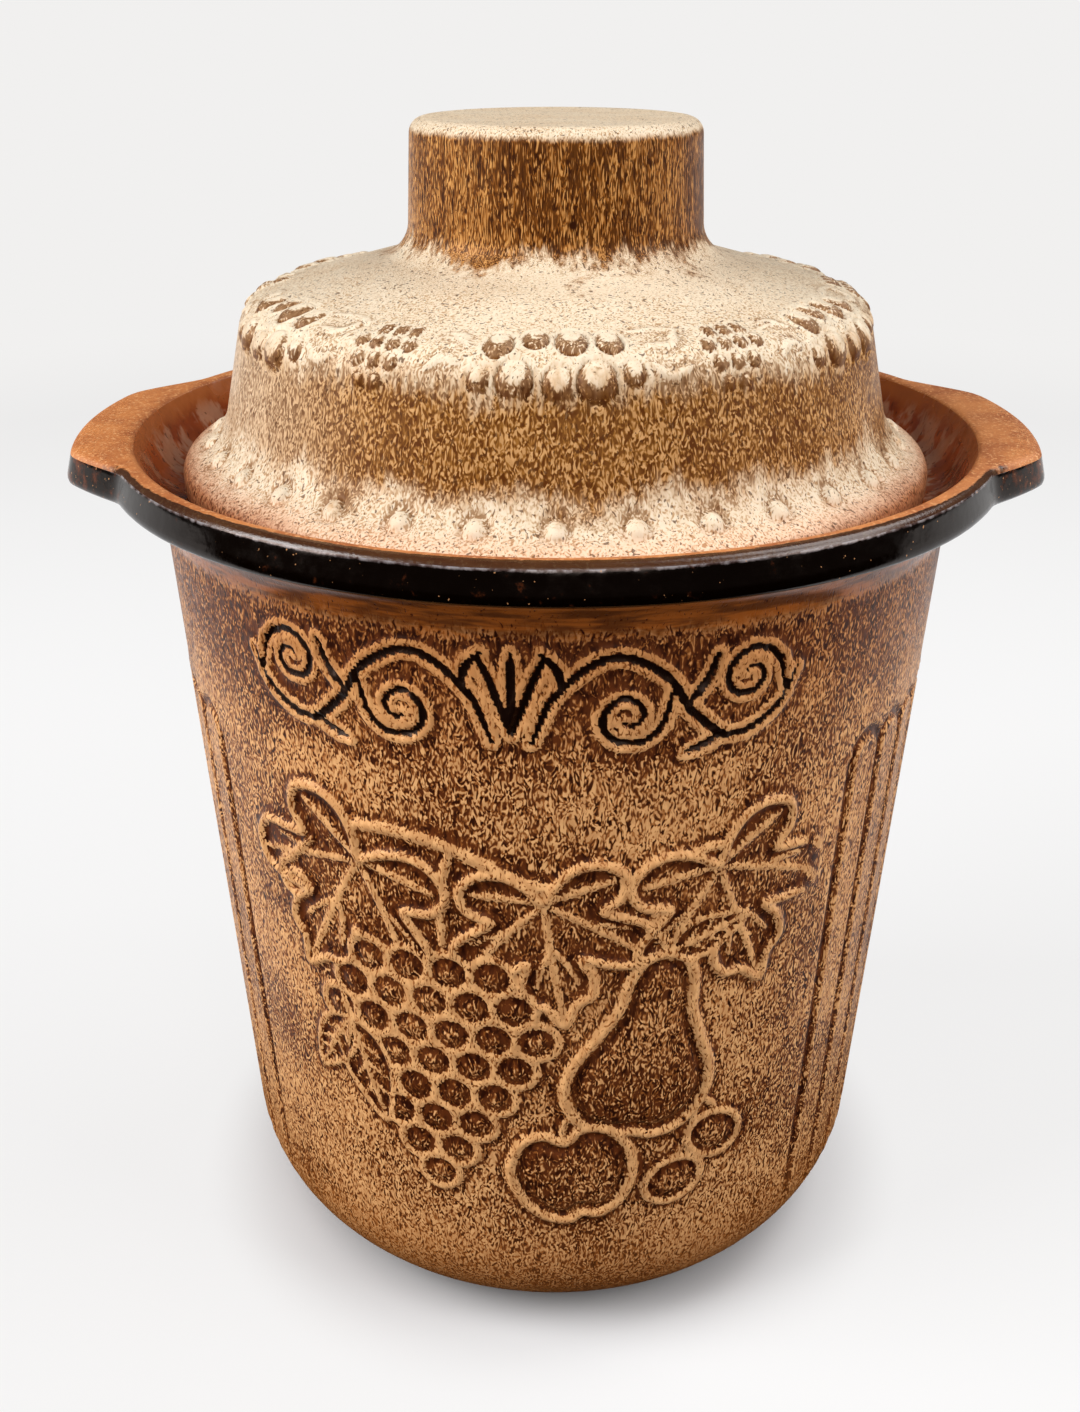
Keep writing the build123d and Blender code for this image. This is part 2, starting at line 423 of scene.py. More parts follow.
def carved_scroll() -> list[Mark]:
    """Running vine scroll, the same on both sides of a small palm, cut in above the relief."""
    marks: list[Mark] = []
    stem = [(4, 184), (9, 196), (20, 204), (31, 199), (37, 190), (46, 183), (56, 187), (61, 196)]
    lower_curl = np.vstack([smooth_line([(33, 197), (31, 188)]), curl_line((23.5, 190), 7.6, 1.6, -15, -480)])
    upper_curl = np.vstack([smooth_line([(59, 190), (57, 199)]), curl_line((49.5, 196.5), 7.4, 1.6, 20, 480)])
    for side in (-1, 1):
        for line, half_width in ((smooth_line(stem), 1.0), (lower_curl, 0.8), (upper_curl, 0.8)):
            marks.append(Carving(line * (side, 1), half_width))
        for start, end in (((10, 197), (6, 205)), ((36, 192), (42, 203)), ((44, 184), (36, 180))):
            bud = smooth_line([start, ((start[0] + end[0]) / 2 + 1.2, (start[1] + end[1]) / 2), end])
            marks.append(Carving(bud * (side, 1), 0.95))
    for lean in (-1, 0, 1):
        petal = smooth_line([(0, 186), (3.4 * lean, 196), (6.5 * lean, 205 - abs(lean))])
        marks.append(Carving(petal, 0.95))
    return marks


def berry_garland(radius: float, repeats: int = 6) -> list[Mark]:
    """Garland round the shoulder of the lid: clusters of large and small berries between leaves.

    Args:
        radius: Radius in mm at which the garland is drawn out flat.
        repeats: How often its pattern comes back round the lid.

    Returns:
        The marks, with u along the turn from -180 to 180 degrees and v up from the shoulder, in mm.
    """
    marks: list[Mark] = []
    length = 2 * math.pi * radius / repeats
    large = ((-12.5, 4.5, 3.2), (-4.6, 6.4, 2.8), (3.2, 5.6, 3.5), (11.6, 5.2, 2.9), (-15.6, -2.6, 2.2),
             (-8.4, -2.4, 3.7), (0.4, -3.2, 3.2), (8.0, -2.8, 4.0), (15.6, -1.4, 2.3))  # fmt: skip
    small = [
        (4.1 * (index - (count - 1) / 2), 6.6 - 3.7 * row)
        for row, count in enumerate((3, 4, 3, 2))
        for index in range(count)
    ]
    for repeat in range(repeats):
        start = (repeat + 0.5) * length - math.pi * radius
        for at, turn, size in (((19, 4), -70, 10), ((19, 0), -96, 9), ((-19, 4), 72, 7), ((-20, 0), 100, 7)):
            blade = smooth_line(placed(((0, 0), (0.2, 0.5), (0, 1)), (start + at[0], at[1]), turn, size))
            marks.append(Rib(blade, 0.8, 0.5, 0.7, 0.4))
        tie = smooth_line([(start + 16, 8), (start + 23, 9), (start + 30, 7.5)])
        marks.append(Rib(tie, 0.6, 0.4, 0.4, 0.3))
        for u, v, size in large:
            marks.append(Berry((start + u, v), size, 0.36 * size, 0.9, 0.48))
        for u, v in small:
            marks.append(Berry((start + 0.5 * length + u + 0.25 * v, v), 1.65, 0.8, 0.5, 0.2))
    return marks


# Turned forms


@dataclass(frozen=True)
class Corner:
    """Corner of a turned outline, with its rounding, and how the mesh is divided.

    arc_rows divide the rounding, and rows the straight run that follows the corner.
    """

    radius: float
    height: float
    rounding: float = 0.0
    arc_rows: int = 4
    rows: int = 1


def draw_outline(form: bmesh.types.BMesh, corners: Sequence[Corner]) -> None:
    """Draw an outline as a wire in the plane of X and Z, round its corners and divide its runs.

    Args:
        form: Mesh that receives the wire.
        corners: Corners of the outline, in order.
    """
    points = [form.verts.new((corner.radius, 0, corner.height)) for corner in corners]
    for first, second in zip(points, points[1:]):
        form.edges.new((first, second))
    for before, corner, after, point in zip(corners, corners[1:], corners[2:], points[1:]):
        if corner.rounding:
            came = Vector((corner.radius - before.radius, corner.height - before.height))
            goes = Vector((after.radius - corner.radius, after.height - corner.height))
            bmesh.ops.bevel(
                form,
                geom=[point],
                offset=corner.rounding * math.tan(came.angle(goes) / 2),
                offset_type="OFFSET",
                segments=corner.arc_rows,
                profile=0.5,
                affect="VERTICES",
                material=-1,
            )
    wanted = form.edges.layers.int.new("rows")
    vertex, edge = points[0], points[0].link_edges[0]
    for corner, ahead in zip(corners, corners[1:]):
        edge[wanted] = corner.rows
        for _ in range(1 + (ahead.arc_rows if ahead.rounding else 0)):
            vertex = edge.other_vert(vertex)
            edge = next((other for other in vertex.link_edges if other is not edge), edge)
    for rows in sorted({corner.rows for corner in corners if corner.rows > 1}):
        runs = [edge for edge in form.edges if edge[wanted] == rows]
        bmesh.ops.subdivide_edges(form, edges=runs, cuts=rows - 1)


def turn_outline(corners: Sequence[Corner], steps: int, start_angle: float = 0.0) -> bmesh.types.BMesh:
    """Closed turned form of an outline that starts and ends on the axis.

    Args:
        corners: Corners of the outline, in order.
        steps: Steps of the full turn.
        start_angle: Angle in degrees of one column of the mesh.

    Returns:
        The form, in mm, with its poles closed and its faces outwards.
    """
    form = bmesh.new()
    draw_outline(form, corners)
    turn = Matrix.Rotation(math.radians(start_angle), 3, "Z")
    bmesh.ops.rotate(form, verts=form.verts[:], cent=(0, 0, 0), matrix=turn)
    bmesh.ops.spin(
        form,
        geom=form.verts[:] + form.edges[:],
        cent=(0, 0, 0),
        axis=(0, 0, 1),
        angle=2 * math.pi,
        steps=steps,
        use_merge=True,
    )
    bmesh.ops.remove_doubles(form, verts=form.verts[:], dist=1e-3)
    bmesh.ops.recalc_face_normals(form, faces=form.faces[:])
    return form


def angle_of(point: Vector) -> float:
    """Angle of a point about the axis, in degrees."""
    return math.degrees(math.atan2(point.y, point.x))


def turned_away(angle: float | Array, middle: float) -> float | Array:
    """Angle from a middle direction, from -180 to 180 degrees."""
    return (angle - middle + 180.0) % 360.0 - 180.0


def from_sides(angle: float | Array, turn: float = 0.0) -> float | Array:
    """Angle in degrees from the nearer of two opposite directions, of which one is at turn."""
    side = np.abs(turned_away(angle, turn))
    return np.minimum(side, 180.0 - side)


def divide_faces(
    form: bmesh.types.BMesh, chosen: Callable[[Vector], bool], cuts: int, upward: bool = True
) -> list[bmesh.types.BMVert]:
    """Divide the faces whose centres are chosen.

    Args:
        form: Mesh that is divided.
        chosen: Test of a face's centre.
        cuts: New vertices on each divided edge.
        upward: Whether the edges that run up the form are divided too, and not only the level ones.

    Returns:
        The new vertices.
    """
    edges = {
        edge
        for face in form.faces
        if chosen(face.calc_center_median())
        for edge in face.edges
        if upward or abs(edge.verts[0].co.z - edge.verts[1].co.z) < LEVEL
    }
    new = bmesh.ops.subdivide_edges(form, edges=list(edges), cuts=cuts, use_grid_fill=True)
    return [part for part in new["geom_inner"] if isinstance(part, bmesh.types.BMVert)]


def put_in_scene(name: str, data: bpy.types.ID) -> bpy.types.Object:
    """Object that shows a mesh, a lamp or a camera, linked to the scene."""
    holder = bpy.data.objects.new(name, data)
    bpy.context.scene.collection.objects.link(holder)
    return holder


@dataclass(frozen=True)
class Faces:
    """Places of the centres of a mesh's faces in mm and degrees, and how far they face out and up."""

    heights: Array
    angles: Array
    radii: Array
    outward: Array
    upward: Array


class Clay:
    """Mesh of a turned piece, with its vertices at hand as arrays in mm, while it is being worked."""

    def __init__(self, name: str, form: bmesh.types.BMesh) -> None:
        """Take over a form.

        Args:
            name: Name of the piece.
            form: Its turned form, in mm, which is freed.
        """
        self.mesh = bpy.data.meshes.new(name)
        form.to_mesh(self.mesh)
        form.free()
        self.marks: dict[str, Array] = {}
        self.points = self.read_vectors(self.mesh.vertices, "co")
        self.read_directions()

    @staticmethod
    def read_vectors(items: bpy.types.bpy_prop_collection, name: str) -> Array:
        """One row for each item, with a vector that it has."""
        values = np.empty(3 * len(items))
        items.foreach_get(name, values)
        return values.reshape(-1, 3)

    def update_mesh(self, scale: float = 1.0) -> None:
        """Write the points back to the mesh, at a scale."""
        self.mesh.vertices.foreach_set("co", (self.points * scale).ravel())
        self.mesh.update()

    def read_directions(self) -> None:
        """Work out the normals, angles and radii of the points as they are, and how they face out."""
        self.update_mesh()
        self.normals = self.read_vectors(self.mesh.vertex_normals, "vector")
        self.angles = np.degrees(np.arctan2(self.points[:, 1], self.points[:, 0]))
        self.radii = np.hypot(self.points[:, 0], self.points[:, 1])
        self.outward = (self.points * self.normals)[:, :2].sum(axis=1)

    def read_faces(self) -> Faces:
        """Places and directions of the faces as they are."""
        self.update_mesh()
        centres = self.read_vectors(self.mesh.polygons, "center")
        normals = self.read_vectors(self.mesh.polygons, "normal")
        angles = np.degrees(np.arctan2(centres[:, 1], centres[:, 0]))
        radii = np.hypot(centres[:, 0], centres[:, 1])
        outward = (centres * normals)[:, :2].sum(axis=1) / np.maximum(radii, 1e-6)
        return Faces(centres[:, 2], angles, radii, outward, normals[:, 2])

    def set_radii(self, chosen: Array, radii: Array) -> None:
        """Move the chosen points in or out to new radii, given for all points."""
        share = np.where(chosen, radii / np.maximum(self.radii, 1e-9), 1.0)
        self.points[:, :2] *= share[:, None]
        self.radii = self.radii * share

    def lift(self, chosen: Array, heights: Array) -> None:
        """Move the chosen points along their directions by heights in mm, given for the chosen ones."""
        self.points[chosen] += self.normals[chosen] * heights[:, None]

    def mark(self, name: str, values: Array, chosen: Array | slice = slice(None)) -> None:
        """Raise a mark that the glazes follow to values from 0 to 1, given for the chosen points."""
        mark = self.marks.setdefault(name, np.zeros(len(self.points)))
        mark[chosen] = np.maximum(mark[chosen], values)

    def press(self, chosen: Array, relief: Relief) -> None:
        """Lift the chosen points by a relief, and mark its crests, and its pools of glaze and painted shade.
        """
        self.lift(chosen, relief.height)
        self.mark("crest", relief.crest, chosen)
        self.mark("pool", relief.pool, chosen)

    def finish(self, zones: Array, finishes: Sequence[bpy.types.Material]) -> bpy.types.Object:
        """Bring the mesh to metres, give each face its finish and put the piece in the scene.

        Args:
            zones: Index of each face's finish.
            finishes: The materials of the piece.

        Returns:
            The finished piece, at the origin.
        """
        for name, values in self.marks.items():
            attribute = self.mesh.attributes.new(name, "FLOAT", "POINT")
            attribute.data.foreach_set("value", values.astype(np.float32))
        for material in finishes:
            self.mesh.materials.append(material)
        self.mesh.polygons.foreach_set("material_index", zones.astype(np.int32))
        self.mesh.polygons.foreach_set("use_smooth", np.ones(len(self.mesh.polygons), dtype=bool))
        self.update_mesh(MM)
        return put_in_scene(self.mesh.name, self.mesh)


# Shader helpers and the effects that several glazes share


class Wire:
    """Output of a node, so that what it carries can be worked with as in a formula."""

    def __init__(self, sheet: "NodeSheet", socket: Socket) -> None:
        """Hold a socket of a sheet."""
        self.sheet = sheet
        self.socket = socket

    def __add__(self, other: "Feed") -> "Wire":
        """Sum."""
        return self.sheet.maths("ADD", self, other)

    def __sub__(self, other: "Feed") -> "Wire":
        """Difference."""
        return self.sheet.maths("SUBTRACT", self, other)

    def __rsub__(self, number: float) -> "Wire":
        """What is left of a number."""
        return self.sheet.maths("SUBTRACT", number, self)

    def __mul__(self, other: "Feed") -> "Wire":
        """Product."""
        return self.sheet.maths("MULTIPLY", self, other)

    def __truediv__(self, other: "Feed") -> "Wire":
        """Quotient."""
        return self.sheet.maths("DIVIDE", self, other)

    def __rtruediv__(self, number: float) -> "Wire":
        """Number over this."""
        return self.sheet.maths("DIVIDE", number, self)

    def __abs__(self) -> "Wire":
        """Value without its sign."""
        return self.sheet.maths("ABSOLUTE", self, 0.0)

    def at_least(self, other: "Feed") -> "Wire":
        """Larger of the two."""
        return self.sheet.maths("MAXIMUM", self, other)

    def ease(self, low: "Feed", high: "Feed", start: "Feed" = 0.0, end: "Feed" = 1.0) -> "Wire":
        """Smooth change from start to end while this goes from low to high."""
        inputs = {"Value": self, "From Min": low, "From Max": high, "To Min": start, "To Max": end}
        return self.sheet.add("ShaderNodeMapRange", inputs, interpolation_type="SMOOTHSTEP")

    def blend(self, first: "Feed", second: "Feed") -> "Wire":
        """Colour between two colours, with this as the share of the second."""
        return self.sheet.add("ShaderNodeMix", {0: self, 6: first, 7: second}, 2, data_type="RGBA")


Feed = Wire | float | str | tuple[float, ...]


class NodeSheet:
    """Adds and links the nodes of one tree."""

    def __init__(self, tree: bpy.types.NodeTree) -> None:
        """Work on a tree."""
        self.tree = tree

    def feed(self, socket: Socket, value: Feed) -> None:
        """Link an input socket, or set it to a number, a vector or the hex code of a colour."""
        if isinstance(value, Wire):
            self.tree.links.new(value.socket, socket)
        else:
            socket.default_value = tint(value) if isinstance(value, str) else value

    def add(
        self,
        kind: str,
        inputs: dict[str | int, Feed] | None = None,
        output: str | int = 0,
        **settings: object,
    ) -> Wire:
        """Add a node.

        Args:
            kind: Type of the node.
            inputs: What its inputs get, by name or number.
            output: The output that is wanted.
            settings: Its other settings.

        Returns:
            The wanted output.
        """
        node = self.tree.nodes.new(kind)
        for name, value in settings.items():
            setattr(node, name, value)
        for name, value in (inputs or {}).items():
            self.feed(node.inputs[name], value)
        return Wire(self, node.outputs[output])

    def maths(self, operation: str, first: Feed, second: Feed) -> Wire:
        """Result of a Math node."""
        return self.add("ShaderNodeMath", {0: first, 1: second}, operation=operation)

    def vector(self, operation: str, *parts: Feed, output: str = "Vector") -> Wire:
        """Result of a Vector Math node."""
        return self.add("ShaderNodeVectorMath", dict(enumerate(parts)), output, operation=operation)

    def noise(self, vector: Feed, scale: Feed, detail: float = 2.0, roughness: float = 0.5) -> Wire:
        """Even noise about a half."""
        inputs = {"Vector": vector, "Scale": scale, "Detail": detail, "Roughness": roughness}
        return self.add("ShaderNodeTexNoise", inputs)

    def group(self, tree: bpy.types.NodeTree, inputs: dict[str, Feed]) -> dict[str, Wire]:
        """Add a node group and take its outputs by name."""
        node = self.tree.nodes.new("ShaderNodeGroup")
        node.node_tree = tree
        for name, value in inputs.items():
            self.feed(node.inputs[name], value)
        return {socket.name: Wire(self, socket) for socket in node.outputs}

    def ray(self, kind: str) -> Wire:
        """Whether a ray is of a kind, such as "Camera" or "Glossy"."""
        return self.add("ShaderNodeLightPath", output=f"Is {kind} Ray")

    def mix_shaders(self, share: Wire, first: Wire, second: Wire) -> Wire:
        """Shader between two shaders, with the share of the second."""
        return self.add("ShaderNodeMixShader", {0: share, 1: first, 2: second})

    def show(self, output: str, surface: Wire) -> None:
        """Make a shader the surface of the output node of a name."""
        self.feed(self.tree.nodes[output].inputs["Surface"], surface)


class SocketKind(Enum):
    """Kinds of the sockets of the node groups."""

    NUMBER = "NodeSocketFloat"
    VECTOR = "NodeSocketVector"


def start_group(
    name: str, inputs: Sequence[str], outputs: Sequence[str]
) -> tuple[NodeSheet, dict[str, Wire], bpy.types.Node]:
    """Start a shader node group, whose inputs are all numbers but the vector that is named Vector.

    Args:
        name: Name of the group.
        inputs: Names of its inputs.
        outputs: Names of its outputs, which are numbers.

    Returns:
        The sheet to work on, what the inputs give, and the node that takes the outputs.
    """
    tree = bpy.data.node_groups.new(name, "ShaderNodeTree")
    for direction, labels in (("INPUT", inputs), ("OUTPUT", outputs)):
        for label in labels:
            kind = SocketKind.VECTOR if label == "Vector" else SocketKind.NUMBER
            tree.interface.new_socket(label, in_out=direction, socket_type=kind.value)
    sheet = NodeSheet(tree)
    given = {socket.name: Wire(sheet, socket) for socket in tree.nodes.new("NodeGroupInput").outputs}
    return sheet, given, tree.nodes.new("NodeGroupOutput")


def build_speckle() -> bpy.types.NodeTree:
    """Fleck of a reduction glaze: a fine upright maze of dark strokes and light worms.

    Its inputs are the place, the width of a stroke in mm, how much taller than wide it is, the
    share that the dark strokes cover and the softness of their edges. It gives the masks of the dark
    strokes and of the light worms between them, and a tone that wanders from one to the next.
    """
    inputs = ("Vector", "Size", "Stretch", "Cover", "Softness")
    sheet, given, result = start_group("glaze fleck", inputs, ("Mask", "Light", "Tone"))
    rate = 1.0 / MM / given["Size"]
    axes = sheet.add("ShaderNodeCombineXYZ", {0: rate, 1: rate, 2: rate / given["Stretch"]})
    cells = sheet.vector("MULTIPLY", given["Vector"], axes)
    for scale, reach in ((0.2, 3.0), (0.6, 1.0)):
        drift = sheet.add("ShaderNodeTexNoise", {"Vector": cells, "Scale": scale, "Detail": 0.0}, "Color")
        drift = sheet.vector("SUBTRACT", drift, (0.5, 0.5, 0.5))
        cells = sheet.vector("MULTIPLY_ADD", drift, (reach, reach, reach), cells)
    stroke = sheet.noise(cells, 1.0, 0.6, 0.45)
    level, softness = given["Cover"].ease(0.0, 1.0, 0.72, 0.28), given["Softness"]
    sheet.feed(result.inputs["Mask"], stroke.ease(level - softness, level + softness))
    sheet.feed(result.inputs["Light"], stroke.ease(level - 0.06, level - 0.16))
    sheet.feed(result.inputs["Tone"], sheet.noise(cells, 0.37, 1.0).ease(0.3, 0.7))
    return sheet.tree


def build_runs() -> bpy.types.NodeTree:
    """Runs of a glaze that has slid down a wall: uneven upright streaks, as a value about a half."""
    sheet, given, result = start_group("glaze runs", ("Vector", "Width", "Length"), ("Value",))
    axes = sheet.add("ShaderNodeCombineXYZ", {0: 1.0, 1: 1.0, 2: given["Width"] / given["Length"]})
    place = sheet.vector("MULTIPLY", given["Vector"], axes)
    sheet.feed(result.inputs["Value"], sheet.noise(place, 1.0 / MM / given["Width"], 3.0, 0.6))
    return sheet.tree


def build_ragged_edge() -> bpy.types.NodeTree:
    """Uneven edge between two glazes: a mask that rises where a value passes an edge."""
    inputs = ("Vector", "Value", "Edge", "Softness", "Raggedness", "Grain")
    sheet, given, result = start_group("ragged edge", inputs, ("Mask",))
    wander = sheet.noise(given["Vector"], 1.0 / MM / given["Grain"], 3.0, 0.6) - 0.5
    moved = given["Value"] + wander * (given["Raggedness"] * 4.0)
    edge, softness = given["Edge"], given["Softness"]
    sheet.feed(result.inputs["Mask"], moved.ease(edge - softness, edge + softness))
    return sheet.tree


@dataclass
class Effects:
    """The node groups that the finishes share."""

    speckle: bpy.types.NodeTree = field(default_factory=build_speckle)
    runs: bpy.types.NodeTree = field(default_factory=build_runs)
    ragged_edge: bpy.types.NodeTree = field(default_factory=build_ragged_edge)


class MaterialSheet(NodeSheet):
    """Sheet of a material, with its Principled shader and its place in the piece at hand."""

    def __init__(self, name: str) -> None:
        """Start a material of a name."""
        self.material = bpy.data.materials.new(name)
        self.material.use_nodes = True
        super().__init__(self.material.node_tree)
        self.shader = self.tree.nodes["Principled BSDF"]
        self.place = self.add("ShaderNodeTexCoord", output="Object")

    def axis(self, name: str) -> Wire:
        """One of the coordinates X, Y and Z, in metres."""
        return self.add("ShaderNodeSeparateXYZ", {0: self.place}, name)

    def mottle(self, scale: float, detail: float = 2.0, roughness: float = 0.5) -> Wire:
        """Even noise about a half, at a scale in cells a metre."""
        return self.noise(self.place, scale, detail, roughness)

    def dress(self, inputs: dict[str, Feed]) -> None:
        """Feed the shader's own sockets."""
        for name, value in inputs.items():
            self.feed(self.shader.inputs[name], value)

    def emboss(self, height: Wire, strength: float, depth: float) -> None:
        """Give the shader a bump, with its depth in mm."""
        inputs = {"Height": height, "Strength": strength, "Distance": depth * MM}
        self.dress({"Normal": self.add("ShaderNodeBump", inputs)})


class GlazeSheet(MaterialSheet):
    """Sheet of a finish of fired clay, with the shared effects at hand."""

    def __init__(self, name: str, effects: Effects) -> None:
        """Start a material of a name."""
        super().__init__(name)
        self.effects = effects

    def attribute(self, name: str) -> Wire:
        """Value of a vertex attribute."""
        return self.add("ShaderNodeAttribute", output="Fac", attribute_name=name)

    def height(self) -> Wire:
        """Height above the table, in mm."""
        return self.axis("Z") / MM

    def flecks(self, size: Feed, stretch: Feed, cover: Feed, softness: float) -> dict[str, Wire]:
        """Masks and tone of a maze of fleck, as build_speckle says."""
        inputs = {"Vector": self.place, "Size": size, "Stretch": stretch}
        return self.group(self.effects.speckle, inputs | {"Cover": cover, "Softness": softness})

    def streaks(self, width: float, length: float) -> Wire:
        """Runs of a width and a length in mm, as a value about a half."""
        inputs = {"Vector": self.place, "Width": width, "Length": length}
        return self.group(self.effects.runs, inputs)["Value"]

    def beyond(self, edge: float, value: Wire, softness: float, raggedness: float, grain: float) -> Wire:
        """Mask of where a value lies beyond an edge, with a ragged border and its grain in mm."""
        inputs = {"Vector": self.place, "Value": value, "Edge": edge}
        inputs |= {"Softness": softness, "Raggedness": raggedness, "Grain": grain}
        return self.group(self.effects.ragged_edge, inputs)["Mask"]


def layered(base: Feed, *coats: tuple[Wire, Feed]) -> Feed:
    """Colour of a base under coats, each given as the share that it covers and its colour."""
    for share, colour in coats:
        base = share.blend(base, colour)
    return base


# Finishes


@dataclass(frozen=True)
class WallGlaze:
    """Tan glaze of the crock's wall under a maze of dark fleck and light worms, with an amber neck."""

    ground: str = "a06230"
    ground_deep: str = "844a1c"
    shade: str = "763e10"
    light: str = "dea870"
    light_deep: str = "bf7c42"
    fleck: str = "200200"
    fleck_red: str = "4a1a04"
    ink: str = "0e0200"
    amber: str = "944c12"
    amber_deep: str = "582806"
    base: str = "985519"
    sheen: str = "ffb888"
    fleck_size: float = 0.51
    amber_height: float = 208.5
    base_height: float = 30.0

    def build(self, effects: Effects) -> bpy.types.Material:
        """Build the material from the shared node groups."""
        sheet = GlazeSheet("wall_glaze", effects)
        height, mottle = sheet.height(), sheet.mottle(38.0, 3.0, 0.55)
        hair = sheet.mottle(1500.0, 2.0) - 0.5
        crest = (sheet.attribute("crest") + hair).ease(0.2, 0.75)
        ink = (sheet.attribute("ink") + hair).ease(0.35, 0.65)
        pool = sheet.attribute("pool")
        amber = sheet.beyond(self.amber_height, height, 2.2, 1.6, 2.0)
        bare = 1.0 - sheet.beyond(self.base_height, height, 24.0, 2.5, 3.0)
        # Towards the band the wall reddens and darkens: a redder glaze, and painted shade under the band. Low
        # on the wall it darkens towards the bottom.
        top, low = height.ease(170.0, 207.0), height.ease(110.0, 35.0)

        cover = mottle.ease(0.3, 0.7, 0.3, 0.46) + pool * 0.32 + top * 0.12 - crest * 0.5 - amber * 0.45
        fleck = sheet.flecks(self.fleck_size, 2.1, cover, 0.04)
        mask, tone = fleck["Mask"], fleck["Tone"]
        bright = fleck["Light"] * tone.ease(0.0, 1.0, 0.95, 0.6)
        dark = mask * tone.ease(0.0, 1.0, 0.97, 0.8) * (1.0 - bare * 0.6)
        # The shade coat darkens where the glaze pools and where shade is painted, near the band and towards
        # the bottom.
        colour = layered(
            self.ground,
            (mottle.ease(0.35, 0.65), self.ground_deep),
            ((pool * 0.55).at_least(top * 0.6).at_least(low * 0.3), self.shade),
            (bright, (top * 0.7).blend(self.light, self.light_deep)),
            (bare * 0.75, self.base),
            (amber * 0.95, sheet.streaks(16.0, 1.8).ease(0.38, 0.6).blend(self.amber, self.amber_deep)),
            (dark, tone.blend(self.fleck, self.fleck_red)),
            (ink, self.ink),
        )
        sheet.dress(
            {
                "Base Color": colour,
                "Specular IOR Level": 0.25,
                "Specular Tint": self.sheen,
                "Roughness": sheet.mottle(420.0, 2.0).ease(0.3, 0.7, 0.36, 0.5),
                "Coat Weight": amber.ease(0.0, 1.0, 0.25, 1.0),
                "Coat Roughness": amber.ease(0.0, 1.0, 0.4, 0.1),
                "Coat IOR": 1.45,
            }
        )
        sheet.emboss(sheet.mottle(260.0, 3.0, 0.6) + bright * 0.5 - mask * 0.7, 0.6, 0.12)
        return sheet.material


@dataclass(frozen=True)
class RimGlaze:
    """Near black glossy glaze of the band, with pinholes, that breaks to brown on edges and ears, with a pale
    line along its worn top edge that is partly frosted glaze and partly a painted highlight.
    """

    deep: str = "040100"
    thin: str = "5a2a10"
    frost_and_highlight: str = "8e8a8c"
    speck: str = "c08a5c"
    sheen: str = "ffe6d8"
    ear_start: float = 94.0
    ear_end: float = 112.0

    def build(self, effects: Effects) -> bpy.types.Material:
        """Build the material from the shared node groups."""
        sheet = GlazeSheet("rim_glaze", effects)
        worn = sheet.beyond(0.8, sheet.attribute("lip"), 0.16, 0.12, 2.0)
        ear = abs(sheet.axis("X")).ease(self.ear_start * MM, self.ear_end * MM)
        cloud = sheet.mottle(260.0, 4.0, 0.65)
        colour = layered(
            self.deep,
            ((cloud + ear * 0.2).ease(0.62, 0.86, 0.0, 0.9), self.thin),
            (worn * 0.5, self.thin),
            # Pale grey line along the worn top edge: partly frosted glaze, partly a painted highlight.
            (worn * sheet.mottle(500.0, 3.0).ease(0.4, 0.62, 0.15, 0.8), self.frost_and_highlight),
            ((sheet.mottle(1000.0, 1.0) + ear * 0.07).ease(0.75, 0.8) * 0.7, self.speck),
        )
        gloss = cloud.ease(0.3, 0.7, 0.08, 0.2)
        sheet.dress({"Base Color": colour, "Roughness": gloss})
        sheet.dress({"Specular IOR Level": 0.28, "Specular Tint": self.sheen})
        sheet.emboss(sheet.mottle(220.0, 3.0), 0.3, 0.25)
        return sheet.material


@dataclass(frozen=True)
class BareClay:
    """Orange brown body of the stoneware where the glaze is wiped off: lip, tops of the ears, foot."""

    clay: str = "c07841"
    clay_dark: str = "9a5424"
    grit: str = "e0a670"
    smear: str = "1c0f0a"

    def build(self, effects: Effects) -> bpy.types.Material:
        """Build the material from the shared node groups."""
        sheet = GlazeSheet("bare_clay", effects)
        rubbed = sheet.mottle(90.0, 4.0, 0.6)
        smear = sheet.beyond(0.6, sheet.attribute("glazed"), 0.18, 0.22, 2.2)
        colour = layered(
            self.clay,
            (rubbed.ease(0.35, 0.68), self.clay_dark),
            (sheet.mottle(1300.0, 2.0).ease(0.52, 0.7, 0.0, 0.7), self.grit),
            (smear * 0.9, self.smear),
        )
        dull = rubbed.ease(0.3, 0.7, 0.5, 0.68)
        sheet.dress({"Base Color": colour, "Roughness": smear.ease(0.0, 1.0, dull, 0.2)})
        sheet.emboss(sheet.mottle(1100.0, 3.0, 0.7), 0.6, 0.16)
        return sheet.material


@dataclass(frozen=True)
class BowlGlaze:
    """Red brown glossy glaze inside the rim and the crock, orange at the lip, with a wavy skin and pale
    streaks that are partly milky glaze and partly a painted reflection.
    """

    brown: str = "823a16"
    red: str = "a85426"
    milk_and_reflection: str = "bc9478"
    thin: str = "a25c2c"
    speck: str = "2a0f06"
    thin_height: float = 223.5

    def build(self, effects: Effects) -> bpy.types.Material:
        """Build the material from the shared node groups."""
        sheet = GlazeSheet("bowl_glaze", effects)
        height, cloud = sheet.height(), sheet.mottle(55.0, 3.0, 0.55)
        thin = sheet.beyond(self.thin_height, height, 2.6, 1.2, 6.0)
        colour = layered(
            self.brown,
            (cloud.ease(0.35, 0.65), self.red),
            # Pale streaks in the bowl, stronger towards the rim: partly milky glaze, partly a painted
            # reflection.
            (sheet.streaks(7.0, 14.0).ease(0.5, 0.6) * height.ease(196.0, 214.0, 0.12, 0.6), self.milk_and_reflection),
            (sheet.flecks(1.6, 1.2, 0.15, 0.04)["Mask"] * 0.6, self.speck),
            (thin, self.thin),
        )
        sheet.dress({"Base Color": colour, "Roughness": (cloud + thin * 0.4).ease(0.3, 1.1, 0.05, 0.36)})
        sheet.emboss(sheet.mottle(130.0), 0.8, 1.2)
        return sheet.material


